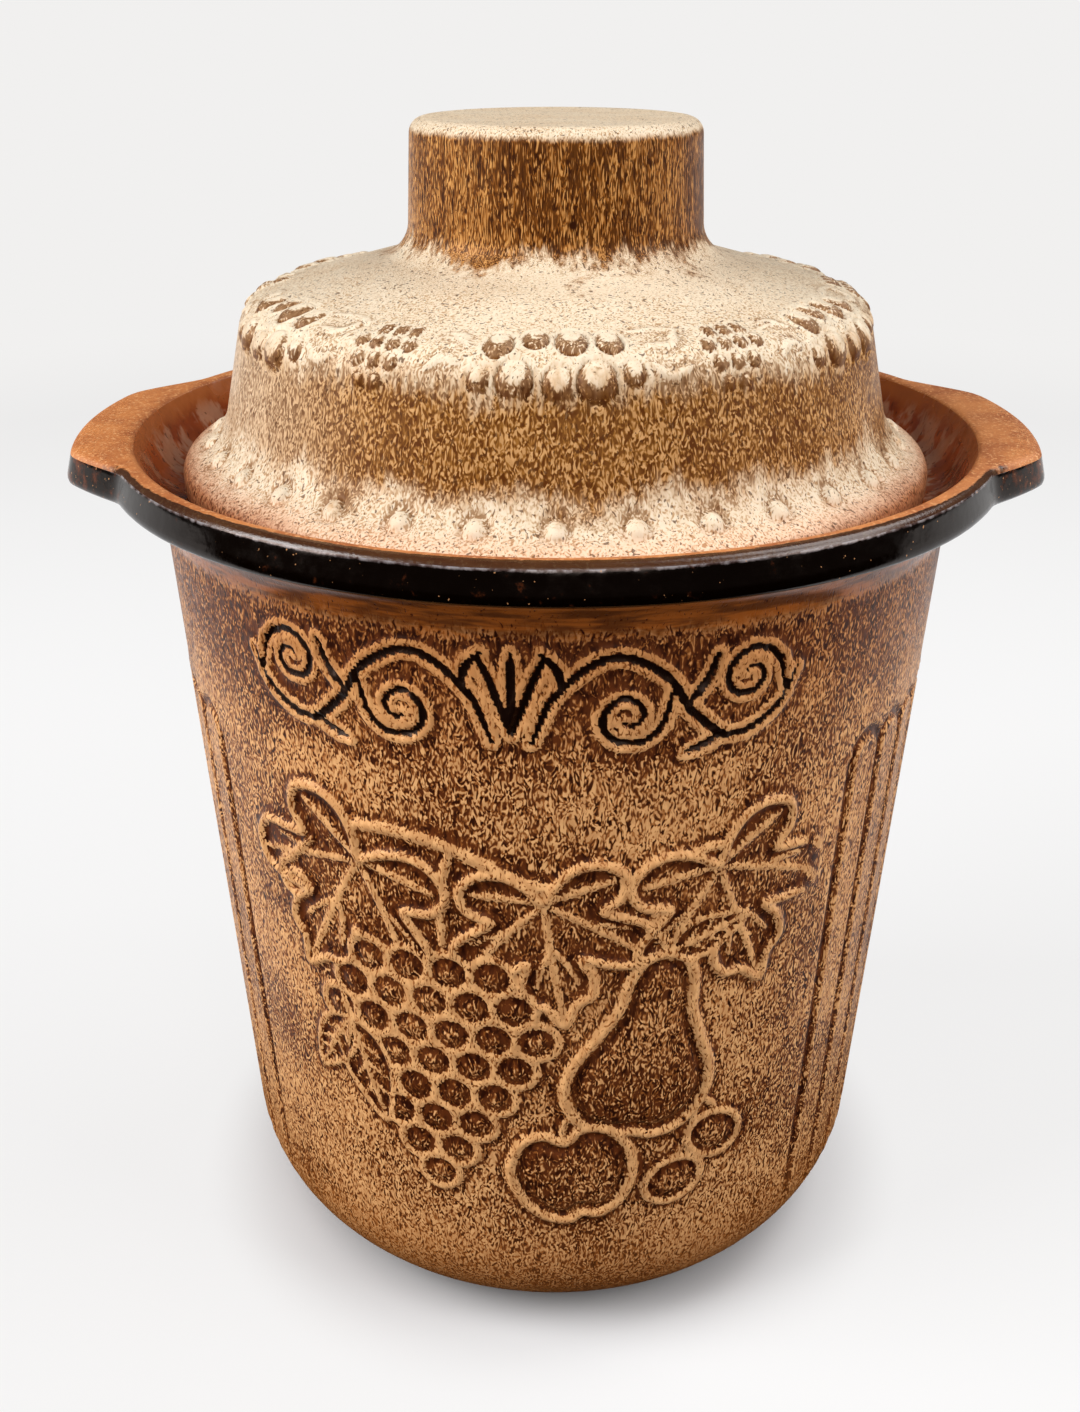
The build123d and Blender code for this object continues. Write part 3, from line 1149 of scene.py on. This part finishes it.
@dataclass(frozen=True)
class LidGlaze:
    """Cream glaze of the lid that breaks to olive brown on its wall and to dark brown on the knob.

    Each zone has the colours of its light worms, its ground and its dark strokes, so that one zone
    passes into the next stroke by stroke.
    """

    cream: tuple[str, str, str] = ("e0d1ba", "d5bfa1", "ae8860")
    olive: tuple[str, str, str] = ("c89a66", "8e5e28", "4e2202")
    knob: tuple[str, str, str] = ("c48e50", "7e4814", "280a00")
    hem: tuple[str, str, str] = ("e4c6aa", "d4a988", "ac7c58")
    # The flare's lower edge: brown glaze, darkened as painted shade where it turns under.
    edge: tuple[str, str, str] = ("bc8258", "94583a", "4c2410")
    pool: str = "4e2408"
    speck: str = "4a2810"
    sheen: str = "ffcca4"
    seat: float = 214.0
    pit: tuple[float, float, float] = (0.0036, -0.0347, 0.2800)

    def build(self, effects: Effects) -> bpy.types.Material:
        """Build the material from the shared node groups."""
        sheet = GlazeSheet("lid_glaze", effects)
        crest, pool, flame = (sheet.attribute(name) for name in ("crest", "pool", "flame"))
        rise, across, mottle = sheet.height() - self.seat, sheet.axis("X"), sheet.mottle(60.0, 3.0, 0.6)
        wander = (sheet.streaks(1.6, 11.0) - 0.5) * 12.0 + (sheet.streaks(16.0, 26.0) - 0.5) * 17.0
        level, lower = rise + wander, rise + wander * 0.2
        # On the left of the lid the olive wall is fainter: painted light from the left.
        painted_left_light = across.ease(-80 * MM, -35 * MM, 0.5, 1.0)
        wall = (level - flame * 8.0).ease(13.0, 21.5) * level.ease(45.5, 36.0) * painted_left_light
        knob = level.ease(55.5, 60.5) * (rise + wander * 0.15).ease(84.6, 82.9)
        # The flare's lower edge browns, higher up towards the sides: brown glaze, and painted shade where the
        # edge turns under.
        edge = (lower - abs(across).ease(30 * MM, 75 * MM, 0.0, 3.5)).ease(8.5, 3.5)
        zones = ((wall, self.olive), (knob, self.knob), (lower.ease(13.5, 8.5), self.hem), (edge, self.edge))
        light, ground, stroke = (
            layered(base, *((share, colours[index]) for share, colours in zones))
            for index, base in enumerate(self.cream)
        )
        # The strokes and the ground darken where the glaze pools and where shade is painted under the
        # berries.
        stroke = (pool * 0.9).blend(stroke, self.pool)
        ground = (pool * 0.85).blend(ground, self.olive[1])

        # Upright streaks on the knob, with fewer dark strokes on its left: painted light from the left.
        streaks_and_left_light = sheet.streaks(2.4, 60.0) + across.ease(-32 * MM, 6 * MM, -0.13, 0.02)
        cover = mottle.ease(0.3, 0.7, 0.24, 0.4) + knob * streaks_and_left_light.ease(0.35, 0.65, 0.06, 0.32)
        cover = cover + wall * 0.13 + pool * 0.34 - crest * 0.5
        size, stretch = rise.ease(52.0, 60.0, 0.48, 0.28), rise.ease(52.0, 60.0, 2.2, 6.0)
        fleck = sheet.flecks(size, stretch, cover, 0.05)
        bright = fleck["Light"] * fleck["Tone"].ease(0.0, 1.0, 0.95, 0.6)
        dark = fleck["Mask"] * fleck["Tone"].ease(0.0, 1.0, 0.95, 0.65)
        specks = sheet.flecks(0.7, 1.7, 0.2 - crest * 0.2, 0.03)["Mask"]
        from_pit = sheet.vector("DISTANCE", sheet.place, self.pit, output="Value")
        colour = layered(
            ground,
            (bright, light),
            (dark, stroke),
            (specks * 0.8, self.speck),
            (from_pit.ease(1.4 * MM, 0.7 * MM), self.knob[2]),
        )
        gloss = mottle.ease(0.3, 0.7, 0.34, 0.46)
        sheet.dress({"Base Color": colour, "Roughness": gloss})
        sheet.dress({"Specular IOR Level": 0.25, "Specular Tint": self.sheen})
        sheet.emboss(sheet.mottle(300.0, 3.0, 0.6) + bright * 0.4 - dark * 0.6, 0.5, 0.12)
        return sheet.material


@dataclass(frozen=True)
class LidInsideGlaze:
    """Smooth cream tan glaze of the lid's hollow, with a few brown specks and a slow mottle."""

    cream: str = "dcc29e"
    tan: str = "c69a68"
    speck: str = "6a3c18"

    def build(self, effects: Effects) -> bpy.types.Material:
        """Build the material from the shared node groups."""
        sheet = GlazeSheet("lid_inside_glaze", effects)
        cloud = sheet.mottle(40.0, 3.0, 0.55)
        specks = sheet.flecks(0.9, 1.3, 0.24, 0.04)["Mask"] * 0.75
        colour = layered(self.cream, (cloud.ease(0.35, 0.68), self.tan), (specks, self.speck))
        gloss = cloud.ease(0.3, 0.7, 0.2, 0.32)
        sheet.dress({"Base Color": colour, "Specular IOR Level": 0.35, "Roughness": gloss})
        sheet.emboss(sheet.mottle(90.0), 0.4, 0.5)
        return sheet.material


# Crock


class CrockZone(IntEnum):
    """Finishes of the crock, in the order of its material slots."""

    WALL = 0
    RIM = 1
    CLAY = 2
    BOWL = 3


@dataclass
class Crock:
    """Crock with its rim, ears, reeded sides, fruit relief and carved scroll.

    The ears stand at 0 and 180 degrees. The reeded panels are turned a little from them, and the
    relief and the scroll from the middle of the front. Pairs of heights say between which heights
    the mesh is divided or worked.
    """

    wall_foot_radius: float = 86.1
    wall_top_radius: float = 98.9
    wall_thickness: float = 7.0
    wall_straight: Point = (35.0, 209.5)
    base_round: float = 35.0
    foot_radius: float = 53.1
    foot_width: float = 7.0
    foot_recess: float = 2.0
    floor_height: float = 10.5
    inner_round: float = 24.0
    rim_height: float = 228.0
    rim_radius: float = 108.7
    band_bottom: float = 219.0
    band_lean: float = 2.37
    lip_radius: float = 104.3
    ledge_height: float = 214.0
    bowl_foot_radius: float = 97.5
    mouth_radius: float = 88.0
    mouth_bottom: float = 206.0
    throat_height: float = 194.0
    ear_length: float = 9.8
    ear_face_half_angle: float = 14.5
    ear_root_half_angle: float = 24.0
    steps: int = 234
    reeds: int = 10
    reed_steps: int = 5
    reed_turn: float = -5.4
    reed_arch_height: float = 164.0
    reed_foot_height: float = 24.0
    groove_half_width: float = 1.5
    groove_depth: float = 0.9
    groove_burr: float = 0.28
    art_angle: float = -95.4
    art_radius: float = 94.0
    art_half_angle: float = 43.0
    art_divided: Point = (20.0, 209.0)
    art_pressed: Point = (30.0, 213.0)

    @property
    def reed_pitch(self) -> float:
        """Angle from one reed to the next, in degrees: a whole number of the mesh's steps."""
        return self.reed_steps * 360.0 / self.steps

    def wall_radius(self, height: float | Array) -> float | Array:
        """Outer radius of the wall at a height."""
        widening = self.wall_top_radius - self.wall_foot_radius
        return self.wall_foot_radius + widening * height / self.band_bottom

    def outline(self) -> list[Corner]:
        """Outline from the middle of the underside, up the outside and down the inside to the floor."""
        inner_foot = self.foot_radius - self.foot_width
        throat_radius = self.wall_radius(self.throat_height) - self.wall_thickness
        floor_radius = self.wall_radius(self.floor_height) - self.wall_thickness
        return [
            Corner(0, self.foot_recess, rows=3),
            Corner(inner_foot, self.foot_recess, 1.0, 3),
            Corner(inner_foot, 0, 1.0, 3, 2),
            Corner(self.wall_foot_radius, 0, self.base_round, 16, 56),
            Corner(self.wall_top_radius, self.band_bottom, 9.0, 9, 2),
            Corner(self.rim_radius + self.band_lean, self.band_bottom, 2.2, 5, 5),
            Corner(self.rim_radius, self.rim_height, 2.0, 5, 3),
            Corner(self.lip_radius, self.rim_height, 1.4, 4, 5),
            Corner(self.bowl_foot_radius, self.ledge_height, 8.0, 6, 3),
            Corner(self.mouth_radius, self.ledge_height, 1.5, 4, 2),
            Corner(self.mouth_radius, self.mouth_bottom, 10.0, 3),
            Corner(throat_radius, self.throat_height, 10.0, 3, 10),
            Corner(floor_radius, self.floor_height, self.inner_round, 8, 4),
            Corner(0, self.floor_height),
        ]

    def build(self, finishes: Sequence[bpy.types.Material]) -> bpy.types.Object:
        """Build and dress the crock.

        Args:
            finishes: Materials in the order of CrockZone.

        Returns:
            The finished piece.
        """
        art = fruit_relief() + carved_scroll()
        form = turn_outline(self.outline(), self.steps, self.reed_turn - self.reeds * self.reed_pitch / 2)
        self.divide(form, art)
        clay = Clay("crock", form)
        self.round_wall(clay)
        zones = self.zones(clay)
        self.mark_rim(clay)
        self.draw_ears(clay)
        clay.read_directions()
        self.cut_reeds(clay)
        self.press_art(clay, art)
        return clay.finish(zones, finishes)

    def on_outside(self, centre: Vector) -> bool:
        """Whether a face's centre lies on the outside of the wall."""
        return math.hypot(centre.x, centre.y) > self.wall_radius(centre.z) - 2.0

    def in_panels(self, centre: Vector, low: float, high: float) -> bool:
        """Whether a face's centre lies in a reeded panel or a step beside it, between two heights."""
        reach = self.reeds * self.reed_pitch / 2 + 360.0 / self.steps
        near = low < centre.z < high and from_sides(angle_of(centre), self.reed_turn) < reach
        return near and self.on_outside(centre)

    def in_ears(self, centre: Vector) -> bool:
        """Whether a face's centre lies where an ear is going to be drawn out of the rim."""
        near = centre.z > self.ledge_height - 2 and math.hypot(centre.x, centre.y) > self.lip_radius - 0.3
        return near and from_sides(angle_of(centre)) < self.ear_root_half_angle + 2

    def divide(self, form: bmesh.types.BMesh, art: Sequence[Mark]) -> None:
        """Give the mesh small faces where it is going to be worked."""
        worked = self.worked_faces(form, art)
        arches = (self.reed_arch_height - 4, self.reed_arch_height + 10)
        grooves = (self.reed_foot_height - 4, arches[0])
        divide_faces(form, lambda centre: tuple(np.round(centre, 2)) in worked, 3)
        divide_faces(form, lambda centre: self.in_panels(centre, *arches), 3)
        divide_faces(form, lambda centre: self.in_panels(centre, *grooves), 3, upward=False)
        divide_faces(form, self.in_ears, 1, upward=False)

    def worked_faces(self, form: bmesh.types.BMesh, art: Sequence[Mark]) -> set[tuple[float, ...]]:
        """Rounded centres of the faces whose middle or surroundings the art raises, cuts or bares."""
        low, high = self.art_divided
        centres = [
            centre
            for centre in (face.calc_center_median() for face in form.faces)
            if low < centre.z < high
            and self.on_outside(centre)
            and abs(turned_away(angle_of(centre), self.art_angle)) < self.art_half_angle
        ]
        u, v = np.array([self.art_place(angle_of(centre), centre.z) for centre in centres]).T
        worked = np.zeros(len(centres), dtype=bool)
        for across in (-1.9, 0.0, 1.9):
            for up in (-2.2, 0.0, 2.2):
                relief = press_all(art, u + across, v + up)
                worked |= (np.abs(relief.height) > 0.04) | (relief.crest > 0.05)
        return {tuple(np.round(centre, 2)) for centre, needed in zip(centres, worked) if needed}

    def art_place(self, angle: float | Array, height: float | Array) -> tuple[float | Array, float | Array]:
        """Place on the art's sheet, in mm, of an angle and a height on the wall."""
        return np.radians(turned_away(angle, self.art_angle)) * self.art_radius, height

    def round_wall(self, clay: Clay) -> None:
        """Bring the vertices of divided faces of the wall out to its true radius."""
        heights = clay.points[:, 2]
        low, high = self.wall_straight
        straight = (clay.radii > self.wall_radius(heights) - 2.0) & (heights > low) & (heights < high)
        clay.set_radii(straight, self.wall_radius(heights))

    def zones(self, clay: Clay) -> Array:
        """Finish of each face, told by its place and direction while the form is still round."""
        faces = clay.read_faces()
        on_ears = from_sides(faces.angles) < self.ear_root_half_angle + 1
        lip_depth, lip_slope = np.where(on_ears, 1.6, 1.2), np.where(on_ears, 0.22, 0.35)
        inner_wall = (faces.outward < -0.2) & (faces.heights > 3)
        floors = (faces.upward > 0.3) & (faces.heights < self.rim_height - 1.5)
        band = (faces.radii > self.rim_radius - 0.6) & (faces.heights > self.band_bottom - 0.5)
        lip = (faces.heights > self.rim_height - lip_depth) & (faces.radii > self.lip_radius - 0.2)
        foot = (faces.heights < self.foot_recess + 0.6) & (faces.radii < self.foot_radius + 3.0)
        zones = np.full(len(faces.heights), int(CrockZone.WALL))
        zones[inner_wall | floors] = CrockZone.BOWL
        zones[band & (faces.outward > -0.1)] = CrockZone.RIM
        zones[lip & (faces.upward > lip_slope) | foot] = CrockZone.CLAY
        return zones

    def mark_rim(self, clay: Clay) -> None:
        """Mark at the rim's outer edge how near the band is to the lip, and the lip to the band."""
        heights, from_ear = clay.points[:, 2], from_sides(clay.angles)
        lip = ease(self.rim_height - 3.2, self.rim_height - 0.6, heights) * (clay.radii > self.lip_radius + 1)
        inwards = 1.4 * ease(30.0, 60.0, from_ear)
        outer = ease(self.rim_radius - 2.0, self.rim_radius - 0.3, clay.radii + inwards)
        clay.mark("lip", lip)
        clay.mark("glazed", outer * ease(16.0, 27.0, from_ear) * (heights > self.rim_height - 2.5))

    def draw_ears(self, clay: Clay) -> None:
        """Draw the two ears out of the rim, over its band, its lip and its underside."""
        angles = np.linspace(0, 40, 401)
        fade = (self.ear_root_half_angle - angles) / (self.ear_root_half_angle - self.ear_face_half_angle)
        fade = np.clip(fade, 0, 1)
        taps = hump(np.linspace(-30, 30, 61), 14.0)
        padded = np.concatenate([fade[30:0:-1], fade, np.zeros(30)])
        fade = np.convolve(padded, taps / taps.sum(), "valid")
        reach = self.ear_length * np.interp(from_sides(clay.angles), angles, fade)
        heights = clay.points[:, 2]
        top = heights > self.band_bottom + 3.5
        start = np.where(top, self.lip_radius + 0.3, self.rim_radius - 1.5)
        end = np.where(top, self.rim_radius - 0.4, self.rim_radius + self.band_lean - 1.2)
        share = np.clip((clay.radii - start) / (end - start), 0, 1)
        in_bowl = top & (heights < self.rim_height - 2.5) & (clay.radii < self.lip_radius + 1.7)
        share[(heights < self.band_bottom - 0.5) | in_bowl] = 0
        clay.set_radii(share > 0, clay.radii + reach * share)

    def cut_reeds(self, clay: Clay) -> None:
        """Cut the grooves between the reeds, and the arch over each of them."""
        heights = clay.points[:, 2]
        wall = self.wall_radius(heights)
        outside = (clay.radii > wall - 4.0) & (heights > 10) & (heights < 185)
        arch_radius = math.radians(self.reed_pitch / 2) * self.wall_radius(self.reed_arch_height)
        far = 99.0
        for middle in (self.reed_turn, self.reed_turn + 180.0):
            turn = turned_away(clay.angles, middle)
            chosen = np.flatnonzero(outside & (np.abs(turn) < (self.reeds / 2 + 0.8) * self.reed_pitch))
            place = turn[chosen] / self.reed_pitch + self.reeds / 2
            groove, in_panel = np.round(place), (place > 0) & (place < self.reeds)
            arc = np.radians(self.reed_pitch) * wall[chosen]
            above = heights[chosen] - self.reed_arch_height
            beside = np.where((groove < 0) | (groove > self.reeds), far, np.abs(place - groove) * arc)
            line = np.hypot(beside, np.maximum(above, 0))
            across = (place - np.floor(place) - 0.5) * arc
            arch = np.where(in_panel & (above >= 0), np.abs(np.hypot(across, above) - arch_radius), far)
            gap = np.minimum(line, arch)
            foot = ease(self.reed_foot_height - 3, self.reed_foot_height + 6, heights[chosen])
            burr = self.groove_burr * hump(gap - 2.2, 0.9) * foot
            pit = hump(across, 1.0) * hump(above - arch_radius, 1.7) * in_panel
            cut = np.maximum(hump(gap, self.groove_half_width) * foot, pit)
            clay.lift(chosen, burr - self.groove_depth * cut)
            clay.mark("crest", 0.3 * ease(0.1, 0.24, burr), chosen)
            clay.mark("pool", ease(0.2, 0.9, cut), chosen)

    def press_art(self, clay: Clay, art: Sequence[Mark]) -> None:
        """Press the relief and the scroll into the front of the wall."""
        heights = clay.points[:, 2]
        near = np.abs(turned_away(clay.angles, self.art_angle)) < self.art_half_angle + 3
        outside = clay.radii > self.wall_radius(heights) - 3.0
        low, high = self.art_pressed
        chosen = np.flatnonzero(near & outside & (heights > low) & (heights < high))
        relief = press_all(art, *self.art_place(clay.angles[chosen], heights[chosen]))
        clay.press(chosen, relief)
        clay.mark("ink", relief.ink, chosen)


# Lid


class LidZone(IntEnum):
    """Finishes of the lid, in the order of its material slots."""

    OUTSIDE = 0
    INSIDE = 1
    CLAY = 2


@dataclass
class Lid:
    """Domed lid with its flange, flared edge, ring of beads, garland and hollow knob.

    A place is a radius and a rise over the seat in the crock's rim. Pairs of rises say between
    which rises the mesh is divided.
    """

    seat: float = 214.0
    radius: float = 93.0
    edge_rise: float = 8.0
    waist: Point = (82.4, 14.5)
    shoulder: Point = (75.7, 45.5)
    knob_foot: Point = (35.7, 56.5)
    knob_top: Point = (34.4, 86.0)
    wall: float = 5.5
    flange_radius: float = 87.2
    flange_width: float = 5.0
    flange_depth: float = 10.0
    steps: int = 216
    beads: int = 32
    bead_radius: float = 2.2
    bead_height: float = 0.8
    bead_place: float = 85.6
    bead_divided: Point = (9.5, 16.5)
    moat_depth: float = 0.6
    garland_radius: float = 74.0
    garland_divided: Point = (35.0, 50.6)

    def outline(self) -> list[Corner]:
        """Outline from the axis down the hollow to the flange's underside, and up the outside."""
        inner_flange = self.flange_radius - self.flange_width
        return [
            self.corner((0, self.knob_top[1] - self.wall), rows=4),
            self.corner(self.inset(self.knob_top), 5.0, 3, 4),
            self.corner(self.inset(self.knob_foot), 5.0, 3, 8),
            self.corner(self.inset(self.shoulder), 5.0, 3, 5),
            self.corner((self.waist[0] - self.wall, self.waist[1]), 5.0, 3, 3),
            self.corner((inner_flange, 0), 5.0, 3, 2),
            self.corner((inner_flange, -self.flange_depth), rows=2),
            self.corner((self.flange_radius, -self.flange_depth), 1.5, 3, 3),
            self.corner((self.flange_radius, 0), rows=2),
            self.corner((self.radius, 0), 2.5, 4),
            self.corner((self.radius, self.edge_rise), 4.0, 8, 10),
            self.corner(self.waist, 12.0, 14, 8),
            self.corner(self.between(self.waist, self.shoulder, 0.6), rows=7),
            self.corner(self.shoulder, 9.0, 18, 18),
            self.corner(self.between(self.shoulder, self.knob_foot, 0.45), rows=9),
            self.corner(self.knob_foot, 8.0, 8, 10),
            self.corner(self.knob_top, 3.5, 7, 10),
            self.corner((0, self.knob_top[1])),
        ]

    def corner(self, place: Point, rounding: float = 0.0, arc_rows: int = 4, rows: int = 1) -> Corner:
        """Corner of the outline at a place."""
        return Corner(place[0], self.seat + place[1], rounding, arc_rows, rows)

    def inset(self, place: Point) -> Point:
        """Place in the hollow, a wall's thickness in and down from a place of the outside."""
        return place[0] - self.wall, place[1] - self.wall

    @staticmethod
    def between(start: Point, end: Point, share: float) -> Point:
        """Place on the straight run between two places."""
        return start[0] + share * (end[0] - start[0]), start[1] + share * (end[1] - start[1])

    def build(self, finishes: Sequence[bpy.types.Material]) -> bpy.types.Object:
        """Build and dress the lid.

        Args:
            finishes: Materials in the order of LidZone.

        Returns:
            The finished piece.
        """
        form = turn_outline(self.outline(), self.steps)
        for low, high in (self.garland_divided, self.bead_divided):
            self.divide(form, low, high)
        clay = Clay("lid", form)
        zones = self.zones(clay)
        self.press_garland(clay)
        self.press_beads(clay)
        clay.mark("flame", 0.5 - 0.5 * np.cos(np.radians(clay.angles) * self.beads))
        return clay.finish(zones, finishes)

    def divide(self, form: bmesh.types.BMesh, low: float, high: float) -> None:
        """Divide the steps of the outside between two rises, and bring the new vertices out round."""

        def chosen(centre: Vector) -> bool:
            rise = centre.z - self.seat
            hollow = np.interp(rise, (12, 20, 45, 50, 57), (79, 77.5, 72, 58, 40))
            return low < rise < high and math.hypot(centre.x, centre.y) > hollow

        radii = {
            round(vertex.co.z, 3): math.hypot(vertex.co.x, vertex.co.y)
            for face in form.faces
            if chosen(face.calc_center_median())
            for vertex in face.verts
        }
        for vertex in divide_faces(form, chosen, 3, upward=False):
            flat = math.hypot(vertex.co.x, vertex.co.y)
            share = radii.get(round(vertex.co.z, 3), flat) / flat
            vertex.co.x *= share
            vertex.co.y *= share

    def zones(self, clay: Clay) -> Array:
        """Finish of each face, told by its place and direction."""
        faces = clay.read_faces()
        under_edge = faces.heights - self.seat < 0.4
        zones = np.full(len(faces.heights), int(LidZone.OUTSIDE))
        zones[(faces.outward < -0.15) | (faces.upward < -0.3)] = LidZone.INSIDE
        zones[under_edge & (faces.radii > self.flange_radius - self.flange_width - 0.5)] = LidZone.CLAY
        return zones

    def press_garland(self, clay: Clay) -> None:
        """Press the garland of berries and leaves round the shoulder.

        Its sheet bends over the shoulder about a centre in the shell, and goes on straight inwards
        over the dome and down the wall.
        """
        centre, bend_radius = (66.5, 36.5), 9.0
        middle, dome_end, wall_end = (math.radians(degrees) for degrees in (39, 36, 34))
        rises, upward = clay.points[:, 2] - self.seat, clay.normals[:, 2]
        near = (rises > 30) & (rises < 53) & (clay.radii > 56) & (upward > -0.2)
        chosen = np.flatnonzero(near & (clay.outward >= 0))
        r, z = clay.radii[chosen], rises[chosen]
        side = bend_radius * (np.arctan2(z - centre[1], r - centre[0]) - middle)
        side = np.where(r < 68, 68 - r + bend_radius * dome_end, side)
        side = np.where(z < 38, z - 38 - bend_radius * wall_end, side)
        along = np.radians(clay.angles[chosen]) * self.garland_radius
        clay.press(chosen, press_all(berry_garland(self.garland_radius), along, side - 0.5))

    def press_beads(self, clay: Clay) -> None:
        """Press the ring of beads low on the flare, each in a moat where the glaze runs together."""
        rises, upward = clay.points[:, 2] - self.seat, clay.normals[:, 2]
        near = (rises > 8.5) & (rises < 19) & (clay.radii > 79) & (upward > 0)
        chosen = np.flatnonzero(near & (clay.outward > 0))
        pitch = 360.0 / self.beads
        bead = clay.angles[chosen] / pitch
        across = np.radians((bead - np.round(bead)) * pitch) * self.bead_place
        down = (clay.radii[chosen] - self.bead_place) * 1.25
        gap = np.hypot(across, down)
        share = gap / self.bead_radius
        dome = self.bead_height * np.sqrt(np.clip(1 - share**2, 0, 1))
        moat = hump(gap - self.bead_radius - 0.7, 0.9)
        sheltered = 0.35 + 0.65 * ease(0.7, -0.6, down / np.maximum(gap, 1e-6))
        clay.lift(chosen, dome - self.moat_depth * moat)
        clay.mark("crest", ease(1.05, 0.7, share), chosen)
        clay.mark("pool", 0.65 * moat * sheltered, chosen)


# Studio


@dataclass(frozen=True)
class Softbox:
    """Square soft lamp: where it stands and what it faces, in metres, its width and its power."""

    name: str
    place: tuple[float, float, float]
    faces: tuple[float, float, float]
    width: float
    power: float

    def build(self) -> None:
        """Hang the lamp."""
        lamp = bpy.data.lights.new(self.name, "AREA")
        lamp.shape, lamp.size, lamp.energy = "SQUARE", self.width, self.power
        holder = put_in_scene(self.name, lamp)
        holder.location = self.place
        holder.rotation_euler = (Vector(self.faces) - Vector(self.place)).to_track_quat("-Z", "Y").to_euler()


@dataclass
class Studio:
    """Pale floor, soft lamps, a pale sky past the paper, and the camera at the photograph's angle.

    The camera's place is in mm and its angles are in radians.
    """

    camera_place: tuple[float, float, float] = (-1.5, -382.6, 326.4)
    camera_pitch: float = 0.4372
    camera_yaw: float = -0.0060
    lens: float = 38.99
    paper: str = "d3d3d4"
    paper_dim: str = "8f8f90"
    glow: str = "f1f0ef"
    glow_near: tuple[float, float, float, float] = (0.96, 0.955, 0.95, 1.0)
    surround: float = 0.06
    lamps: tuple[Softbox, ...] = (
        Softbox("window_left", (-2.3, -0.7, 1.6), (0, 0, 0.16), 1.7, 103.0),
        Softbox("room_front", (0.3, -2.0, 1.5), (0, 0, 0.14), 1.3, 20.0),
        Softbox("fill_right", (2.3, -0.8, 1.6), (0, 0, 0.15), 1.6, 50.0),
        Softbox("overhead", (1.5, 0.7, 2.3), (0, 0, 0.25), 1.6, 33.0),
    )

    def build(self) -> None:
        """Set up the floor, the lamps, the surround and the camera."""
        self.lay_floor()
        for lamp in self.lamps:
            lamp.build()
        self.set_surround()
        self.set_camera()

    def lay_floor(self) -> None:
        """Lay a large sheet of paper under the object.

        To the camera it glows evenly far away, and keeps the shadow near the object. Close round the
        object's foot it stays dim to the camera as well, a painted contact shadow. Light that bounces
        sees dim paper, so that the base isn't lit from below, and the gloss of the glazes sees a dark
        floor under the object and in front of it, as on a table in a room.
        """
        form = bmesh.new()
        bmesh.ops.create_grid(form, x_segments=1, y_segments=1, size=60.0)
        mesh = bpy.data.meshes.new("paper_floor")
        form.to_mesh(mesh)
        form.free()
        sheet = MaterialSheet("studio_paper")
        seen, glossy = sheet.ray("Camera"), sheet.ray("Glossy")
        away = sheet.vector("LENGTH", sheet.place, output="Value")
        # Near the object's foot the paper stays dim to the camera too: a painted contact shadow.
        bright = away.ease(0.062, 0.085) * seen.at_least(glossy)
        colour = bright.blend(self.paper_dim, self.paper)
        sheet.dress({"Base Color": colour, "Roughness": 0.9, "Specular IOR Level": 0.1})
        glow = away.ease(0.3, 1.0).blend(self.glow_near, self.glow)
        light = sheet.add("ShaderNodeEmission", {"Color": glow, "Strength": 1.0})
        lit = away.ease(0.35, 1.3).at_least(away.ease(0.076, 0.11, 0.0, 0.74) * seen)
        paper = sheet.mix_shaders(lit, Wire(sheet, sheet.shader.outputs[0]), light)
        front = sheet.axis("Y").ease(-0.02, -0.09).at_least(away.ease(0.17, 0.12))
        dark = sheet.add("ShaderNodeEmission", {"Color": (0.0, 0.0, 0.0, 1.0), "Strength": 0.0})
        sheet.show("Material Output", sheet.mix_shaders(front * glossy, paper, dark))
        mesh.materials.append(sheet.material)
        put_in_scene("paper_floor", mesh)

    def set_surround(self) -> None:
        """Faint even light from all around, and a pale sky where the camera looks past the paper."""
        world = bpy.data.worlds.new("surround")
        bpy.context.scene.world = world
        world.use_nodes = True
        sheet = NodeSheet(world.node_tree)
        light = world.node_tree.nodes["Background"]
        sheet.feed(light.inputs["Color"], (1.0, 1.0, 1.0, 1.0))
        sheet.feed(light.inputs["Strength"], self.surround)
        backdrop = sheet.add("ShaderNodeBackground", {"Color": self.glow, "Strength": 1.0})
        mixed = sheet.mix_shaders(sheet.ray("Camera"), Wire(sheet, light.outputs[0]), backdrop)
        sheet.show("World Output", mixed)

    def set_camera(self) -> None:
        """Set the camera where the photograph was taken from."""
        camera = bpy.data.cameras.new("camera")
        camera.sensor_fit, camera.sensor_width, camera.lens = "AUTO", 36.0, self.lens
        camera.clip_start, camera.clip_end = 0.01, 50.0
        holder = put_in_scene("camera", camera)
        pitch, yaw = self.camera_pitch, self.camera_yaw
        ahead = Vector((math.sin(yaw) * math.cos(pitch), math.cos(yaw) * math.cos(pitch), -math.sin(pitch)))
        right = Vector((math.cos(yaw), -math.sin(yaw), 0))
        turn = Matrix((right, right.cross(ahead), -ahead)).transposed().to_4x4()
        holder.matrix_world = Matrix.Translation(Vector(self.camera_place) * MM) @ turn
        bpy.context.scene.camera = holder


def main() -> None:
    """Build the crock, the lid and the studio, in that order."""
    logging.basicConfig(level=logging.INFO, format="%(name)s: %(message)s")
    bpy.context.scene.view_settings.view_transform = "Standard"
    effects = Effects()
    finishes = (WallGlaze(), RimGlaze(), BareClay(), BowlGlaze(), LidGlaze(), LidInsideGlaze())
    wall, rim, clay, bowl, lid_outside, lid_inside = (finish.build(effects) for finish in finishes)

    crock = Crock().build([wall, rim, clay, bowl])
    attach(crock, "crock_body")
    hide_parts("crock")
    log.info("crock: %d faces", len(crock.data.polygons))

    lid = Lid().build([lid_outside, lid_inside, clay])
    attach(lid, "lid_body")
    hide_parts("lid")
    log.info("lid: %d faces", len(lid.data.polygons))

    Studio().build()
    log.info("studio set")


if __name__ == "__main__":
    main()
